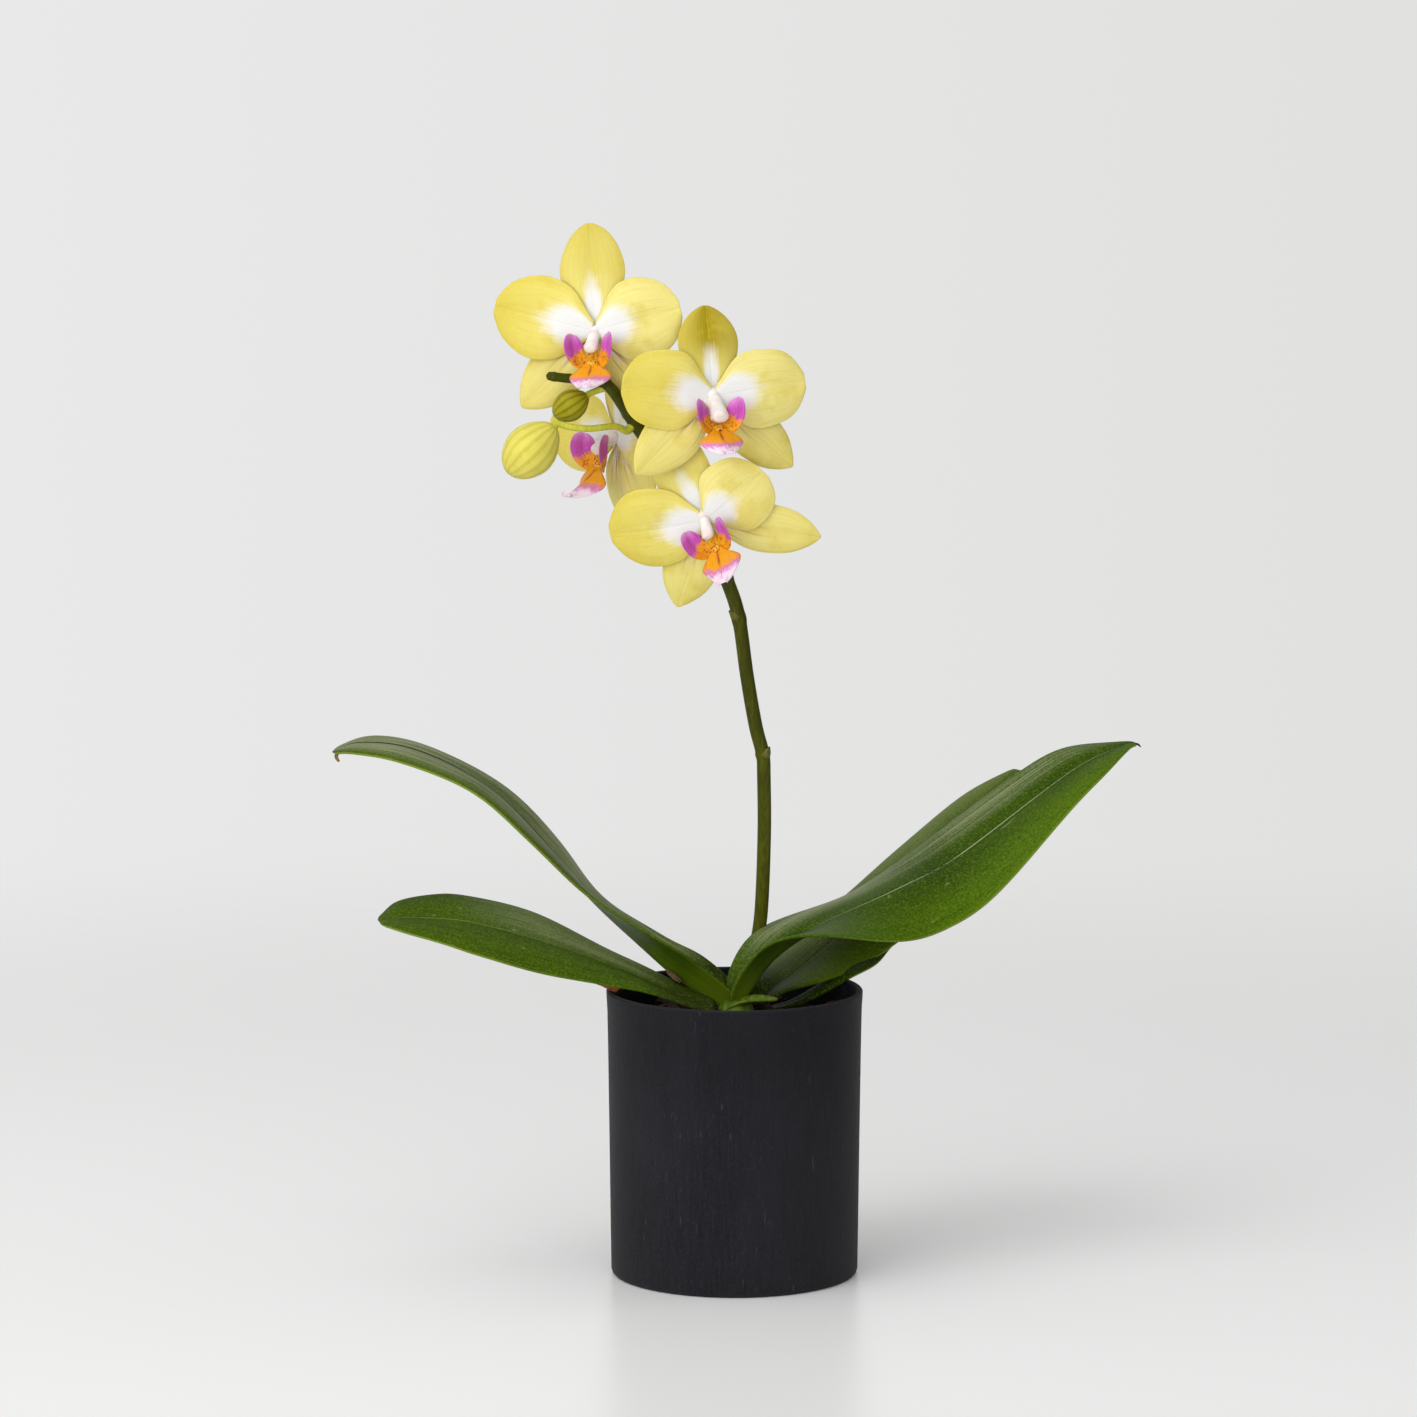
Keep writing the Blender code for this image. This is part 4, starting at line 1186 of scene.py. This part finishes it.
def make_flower(name, plan):
    placed = flower_frame(plan)
    for organ, sizes in plan["organs"].items():
        shape = organ.split("_")[0]
        petal = shape == "petal"
        look = organ if petal else shape
        # The right flower's dorsal sepal takes a darker copy of the dorsal finish, as painted
        # shade.
        if shape == "dorsal" and name == "flower_right":
            look = "dorsal_shaded_olive"
        piece = tepal(f"{name}_{organ}_blade", sizes, shape, FINISHES[look])
        place = placed @ organ_frame(sizes[0])
        settle(piece, f"{name}_{organ}", place)
    drop, keel, hang, lip_size, column_size = plan["lip"]
    hung = placed @ Matrix.Translation((0, 0, drop))
    lip = make_lip(f"{name}_lip", keel)
    hinge = Matrix.Translation(LIP_HINGE)
    tipped = hinge @ Matrix.Rotation(math.radians(hang), 4, "X") @ hinge.inverted()
    settle(lip, f"{name}_lip", hung @ tipped @ Matrix.Scale(lip_size, 4))
    column = make_column(f"{name}_column_cap", column_size)
    nod = Matrix.Translation(COLUMN_BASE) @ Matrix.Rotation(math.radians(COLUMN_NOD), 4, "X")
    settle(column, f"{name}_column", hung @ nod)
    place, passing = FLOWER_STALKS[name]
    via = [above_rim(point) for point in passing]
    knob = [placed @ Vector((0, y, 0)) for y in (6, 2.4, 0.6)]
    points = eased(leave_spike(place, via[0]) + via + knob, 48)
    radii = []
    for i in range(48):
        share = i / 47
        foot = max(0, 0.08 - share) / 0.08
        head = max(0, share - 0.85) / 0.15
        radii.append(1.15 + 0.3 * share + 0.3 * head + 0.5 * foot)
    make_pedicel(name, points, radii)


def make_pedicel(name, points, radii):
    """The small stalk that holds a flower or a bud."""
    stem = stalk(f"{name}_stalk", points, radii)
    dress(stem, FINISHES["pedicel"])
    settle(stem, f"{name}_pedicel")


# ---------------------------------------------------------------- buds

BUDS = {
    "bud_large": {
        "stalk": (12.3, ((-46, -23, 222.4), (-56, -27, 221.9), (-63, -27.6, 222.6))),
        "base": (-68.8, -27, 223),
        "way": (-17, 0, -17),
        "size": (26, 10.2),
    },
    "bud_small": {
        "stalk": (14.3, ()),
        "base": (-56.4, -20.8, 234.4),
        "way": (-12.2, -0.5, -7.6),
        "size": (15.5, 6.1),
    },
}
BUD_RINGS = 20
BUD_SEAMS = (30, 150, 270)  # degrees round it
BUD_OUTLINE = ((0, 0.16), (0.1, 0.5), (0.3, 0.87), (0.55, 1), (0.78, 0.8), (0.92, 0.5), (1, 0.14))


def make_bud(name, plan):
    """A closed bud: a ball drawn to its outline, with the seams of its three sepals pressed in."""
    length, radius = plan["size"]
    clear_hands()
    bpy.ops.mesh.primitive_uv_sphere_add(segments=36, ring_count=BUD_RINGS, radius=1)
    bud = named(f"{name}_body")
    spots = [vertex.co.copy() for vertex in bud.data.vertices]
    ends = run_on(BUD_OUTLINE)
    for ring in range(BUD_RINGS + 1):
        level = -math.cos(math.pi * ring / BUD_RINGS)
        mine = {k for k, spot in enumerate(spots) if abs(spot.z - level) < NEAR}
        share, wide = between(ends, (len(BUD_OUTLINE) - 1) * ring / BUD_RINGS)
        across = math.sqrt(max(1e-6, 1 - level**2))
        pick(bud, lambda v: v.index in mine)
        if 0 < ring < BUD_RINGS:
            swell(radius * wide / across, radius * wide / across, 1, (0, 0, level))
        shift(z=share * length - level)
    for seam in BUD_SEAMS:
        facing = Vector((math.cos(math.radians(seam)), math.sin(math.radians(seam))))
        pressed = {k for k, spot in enumerate(spots)
                   if spot.xy.length > 0.1 and spot.xy.normalized().dot(facing) > 0.99}
        pick(bud, lambda v: v.index in pressed)
        swell(0.95, 0.95, 1)
    take(bud)
    round_off(bud, 1)
    dress(bud, FINISHES[name])
    start = above_rim(plan["base"])
    way = Vector(plan["way"]).normalized()
    aimed = way.to_track_quat("Z", "Y").to_matrix().to_4x4()
    settle(bud, name, Matrix.Translation(start) @ aimed)
    place, passing = plan["stalk"]
    via = [above_rim(point) for point in passing]
    straight = [start - way * 1.2, start + way * 0.6]
    leaving = leave_spike(place, via[0]) if via else [spike_point(place)]
    points = eased(leaving + via + straight, 36)
    radii = []
    for i in range(36):
        share = i / 35
        radii.append(1.3 + 0.45 * max(0, 0.3 - share) / 0.3 + 0.35 * max(0, share - 0.85) / 0.15)
    make_pedicel(name, points, radii)


# ---------------------------------------------------------------- studio

FLOOR_RADIUS = 1.25  # metres
FLOOR_FADE = (0.45, 1.15)  # how far out the floor begins to fade, and where it is gone
AIR_GREY = (0.42, 0.42, 0.42)
# What the eye sees behind the plant, at its left and at its right.
SWEEP_LEFT = (0.815, 0.815, 0.815)
SWEEP_RIGHT = (0.75, 0.75, 0.74)
LIGHT_AIM = (0, 0, 0.2)
# Each light: its place, its size and its watts, in metres.
LIGHTS = {
    "key": ((-1.6, -1.9, 0.85), 1.9, 33),
    "fill": ((0.2, -2.7, 0.6), 2.4, 30),
    "top": ((-0.6, -0.4, 1.9), 1.5, 14),
}


def make_stage():
    clear_hands()
    bpy.ops.mesh.primitive_circle_add(vertices=96, radius=FLOOR_RADIUS, fill_type="NGON")
    floor = named("studio_floor")
    clear_hands()
    dress(floor, floor_finish())
    make_air()
    for name, plan in LIGHTS.items():
        soft_box(name, *plan)


def make_air():
    """The room: even grey light, a pale sweep behind for the eye, and a sheen at the back and the
    left for whatever is glossy."""
    world = bpy.data.worlds.new("studio_air")
    air = Nodes(world)
    way = air.node("ShaderNodeTexCoord", output="Generated")
    right = air.node("ShaderNodeSeparateXYZ", {}, {0: way}, "X")
    back = air.node("ShaderNodeSeparateXYZ", {}, {0: way}, "Y")
    sheen = stretched(back, 0.1, 0.9, 0.06, 0.72) * stretched(right, 0.2, 0.9, 1, 0.45)
    sheen = sheen + stretched(right, -0.4, -0.95, 0, 0.25)
    sweep = air.blend(stretched(right, -0.13, 0.13, 0, 1), SWEEP_LEFT, SWEEP_RIGHT)
    light = air.node("ShaderNodeBackground", {}, {"Color": AIR_GREY})
    for colour, ray in ((sheen, "Is Glossy Ray"), (sweep, "Is Camera Ray")):
        seen = air.node("ShaderNodeBackground", {}, {"Color": colour})
        met = air.node("ShaderNodeLightPath", output=ray)
        light = air.node("ShaderNodeMixShader", {}, {0: met, 1: light, 2: seen})
    air.end_in("World Output", light)
    bpy.context.scene.world = world


def soft_box(name, place, size, watts):
    """A square soft light aimed at the middle of the plant, and not mirrored in it."""
    lamp = bpy.data.lights.new(name, "AREA")
    lamp.size = size
    lamp.energy = watts
    box = bpy.data.objects.new(name, lamp)
    bpy.context.scene.collection.objects.link(box)
    box.location = place
    aim = Vector(LIGHT_AIM) - Vector(place)
    box.rotation_euler = aim.to_track_quat("-Z", "Y").to_euler()
    box.visible_glossy = False


def make_camera():
    eye = bpy.data.cameras.new("camera")
    eye.lens = CAMERA_LENS
    eye.sensor_width = 36
    stand = bpy.data.objects.new("camera", eye)
    bpy.context.scene.collection.objects.link(stand)
    stand.location = CAMERA_PLACE
    stand.rotation_euler = (math.radians(CAMERA_TILT), 0, 0)
    bpy.context.scene.camera = stand


# Each leaf's face, as leaf_finish takes it: its greens hold painted light and shade on one half of
# the fold and at the foot, and painted_sheen is a painted reflection.
LEAF_LOOKS = {
    "upper_left": {
        "greens": ((0.03, 0.052, 0.003), (0.06, 0.1, 0.003), (0.07, 0.12, 0.004),
                   (0.012, 0.02, 0.001)),
        "rib": ((0.01, 0.016, 0.002), 1.1, 0.08),
        "painted_sheen": (0.95, (0.98, 0.76), (-2, -1)),
        "streaks": 0.7,
    },
    "lower_left": {
        "greens": ((0.022, 0.046, 0.0006), (0.052, 0.1, 0.0015), (0.024, 0.05, 0.0007),
                   (0.026, 0.034, 0.008)),
        "rib": ((0.13, 0.19, 0.03), 0.9, 0.03),
        "painted_sheen": (0.5, (0.55, 0.35), (0.64, 0.4)),
        "streaks": 0.6,
    },
    "front_right": {
        "greens": ((0.018, 0.046, 0.0003), (0.048, 0.1, 0.0008), (0.085, 0.165, 0.0015),
                   (0.05, 0.085, 0.004)),
        "rib": ((0.36, 0.42, 0.22), 0.85, 0.014),
        "painted_sheen": (0.85, (0.6, 0.82), (0.95, 0.75)),
        "streaks": 0.45,
    },
    "back_right": {
        "greens": ((0.028, 0.052, 0.001), (0.085, 0.14, 0.006), (0.05, 0.09, 0.002),
                   (0.007, 0.012, 0.001)),
        "rib": ((0.1, 0.15, 0.03), 0.6, 0.02),
        "painted_sheen": (0.2, (0.45, 0.7), (-2, -1)),
        "streaks": 0.45,
    },
    "low_right": {
        "greens": ((0.012, 0.026, 0.0004), (0.028, 0.056, 0.0012), (0.028, 0.056, 0.0012),
                   (0.006, 0.012, 0.0005)),
        "rib": ((0.08, 0.12, 0.02), 0.4, 0.02),
        "painted_sheen": (0.1, (0.4, 0.6), (-2, -1)),
        "streaks": 0.2,
    },
}

FINISHES = {
    "pot": pot_finish(),
    "withered": papery_finish("withered_brown", (0.06, 0.03, 0.015), (0.02, 0.01, 0.006)),
    "bark": bark_finish("bark_dark", (0.012, 0.008, 0.006), (0.05, 0.028, 0.016)),
    "bark_red": bark_finish("bark_red", (0.016, 0.009, 0.006), (0.08, 0.036, 0.018)),
    "bark_orange": bark_finish("bark_orange", (0.2, 0.06, 0.018), (0.55, 0.22, 0.07)),
    "root": root_finish(),
    "papery": papery_finish("papery_tan", (0.26, 0.17, 0.08), (0.1, 0.055, 0.022)),
    # A darker copy of the papery finish: the sheath's own brown, darkened further as painted shade
    # where it sits under the leaves.
    "sheath": papery_finish("sheath_brown", (0.11, 0.075, 0.04), (0.04, 0.025, 0.013)),
    **{f"leaf_{name}": leaf_finish(f"leaf_face_{name}", **look)
       for name, look in LEAF_LOOKS.items()},
    "leaf_back": leaf_under_finish(),
    "crown": crown_finish(),
    "spike": stem_finish("spike_olive", (0.04, 0.043, 0.001), (0.078, 0.088, 0.003),
                         (0.07, 0.042, 0.002)),
    "bract": stem_finish("bract_olive", (0.07, 0.06, 0.012), (0.16, 0.15, 0.03),
                         (0.14, 0.08, 0.02)),
    "pedicel": stem_finish("stalk_green", (0.4, 0.4, 0.035), (0.58, 0.56, 0.08),
                           (0.45, 0.38, 0.04)),
    "petal_left": tepal_finish("petal_yellow", 0.53, 0.8, 0.0, 0.06, 0.0),
    # The right petals are painted paler than the left: partly their own colour, partly painted
    # light.
    "petal_right": tepal_finish("petal_soft_yellow", 0.53, 0.8, 0.0, 0.0, 0.4),
    "dorsal": tepal_finish("dorsal_yellow", 0.47, 1.1, 0.0, 0.25, 0.12),
    "dorsal_shaded_olive": tepal_finish("dorsal_shaded_olive", 0.47, 1.15, 0.0, 0.95, 0.0),
    "lateral": tepal_finish("lateral_yellow", 0.36, 1.1, 0.95, 0.06, 0.3),
    "lip": lip_finish(),
    "lip_tip": stem_finish("whisker_pink", (0.74, 0.45, 0.62), (0.82, 0.6, 0.72), (0.7, 0.4, 0.56)),
    "lip_wing": wing_finish(),
    "column": column_finish(),
    "anther": papery_finish("anther_cap", (0.78, 0.73, 0.64), (0.74, 0.6, 0.54)),
    "callus": callus_finish(),
    "bud_large": bud_finish("bud_yellow_green", (0.66, 0.59, 0.11), (0.4, 0.34, 0.015), 0.36, 15),
    "bud_small": bud_finish("bud_green", (0.33, 0.29, 0.012), (0.12, 0.11, 0.001), 0.6, 12),
}

make_pot()
make_bark()
make_leaves()
make_crown()
make_trim()
make_spike()
for flower, its_plan in FLOWERS.items():
    make_flower(flower, its_plan)
for bud_name, its_plan in BUDS.items():
    make_bud(bud_name, its_plan)
make_stage()
make_camera()
bpy.context.scene.view_settings.view_transform = "Standard"
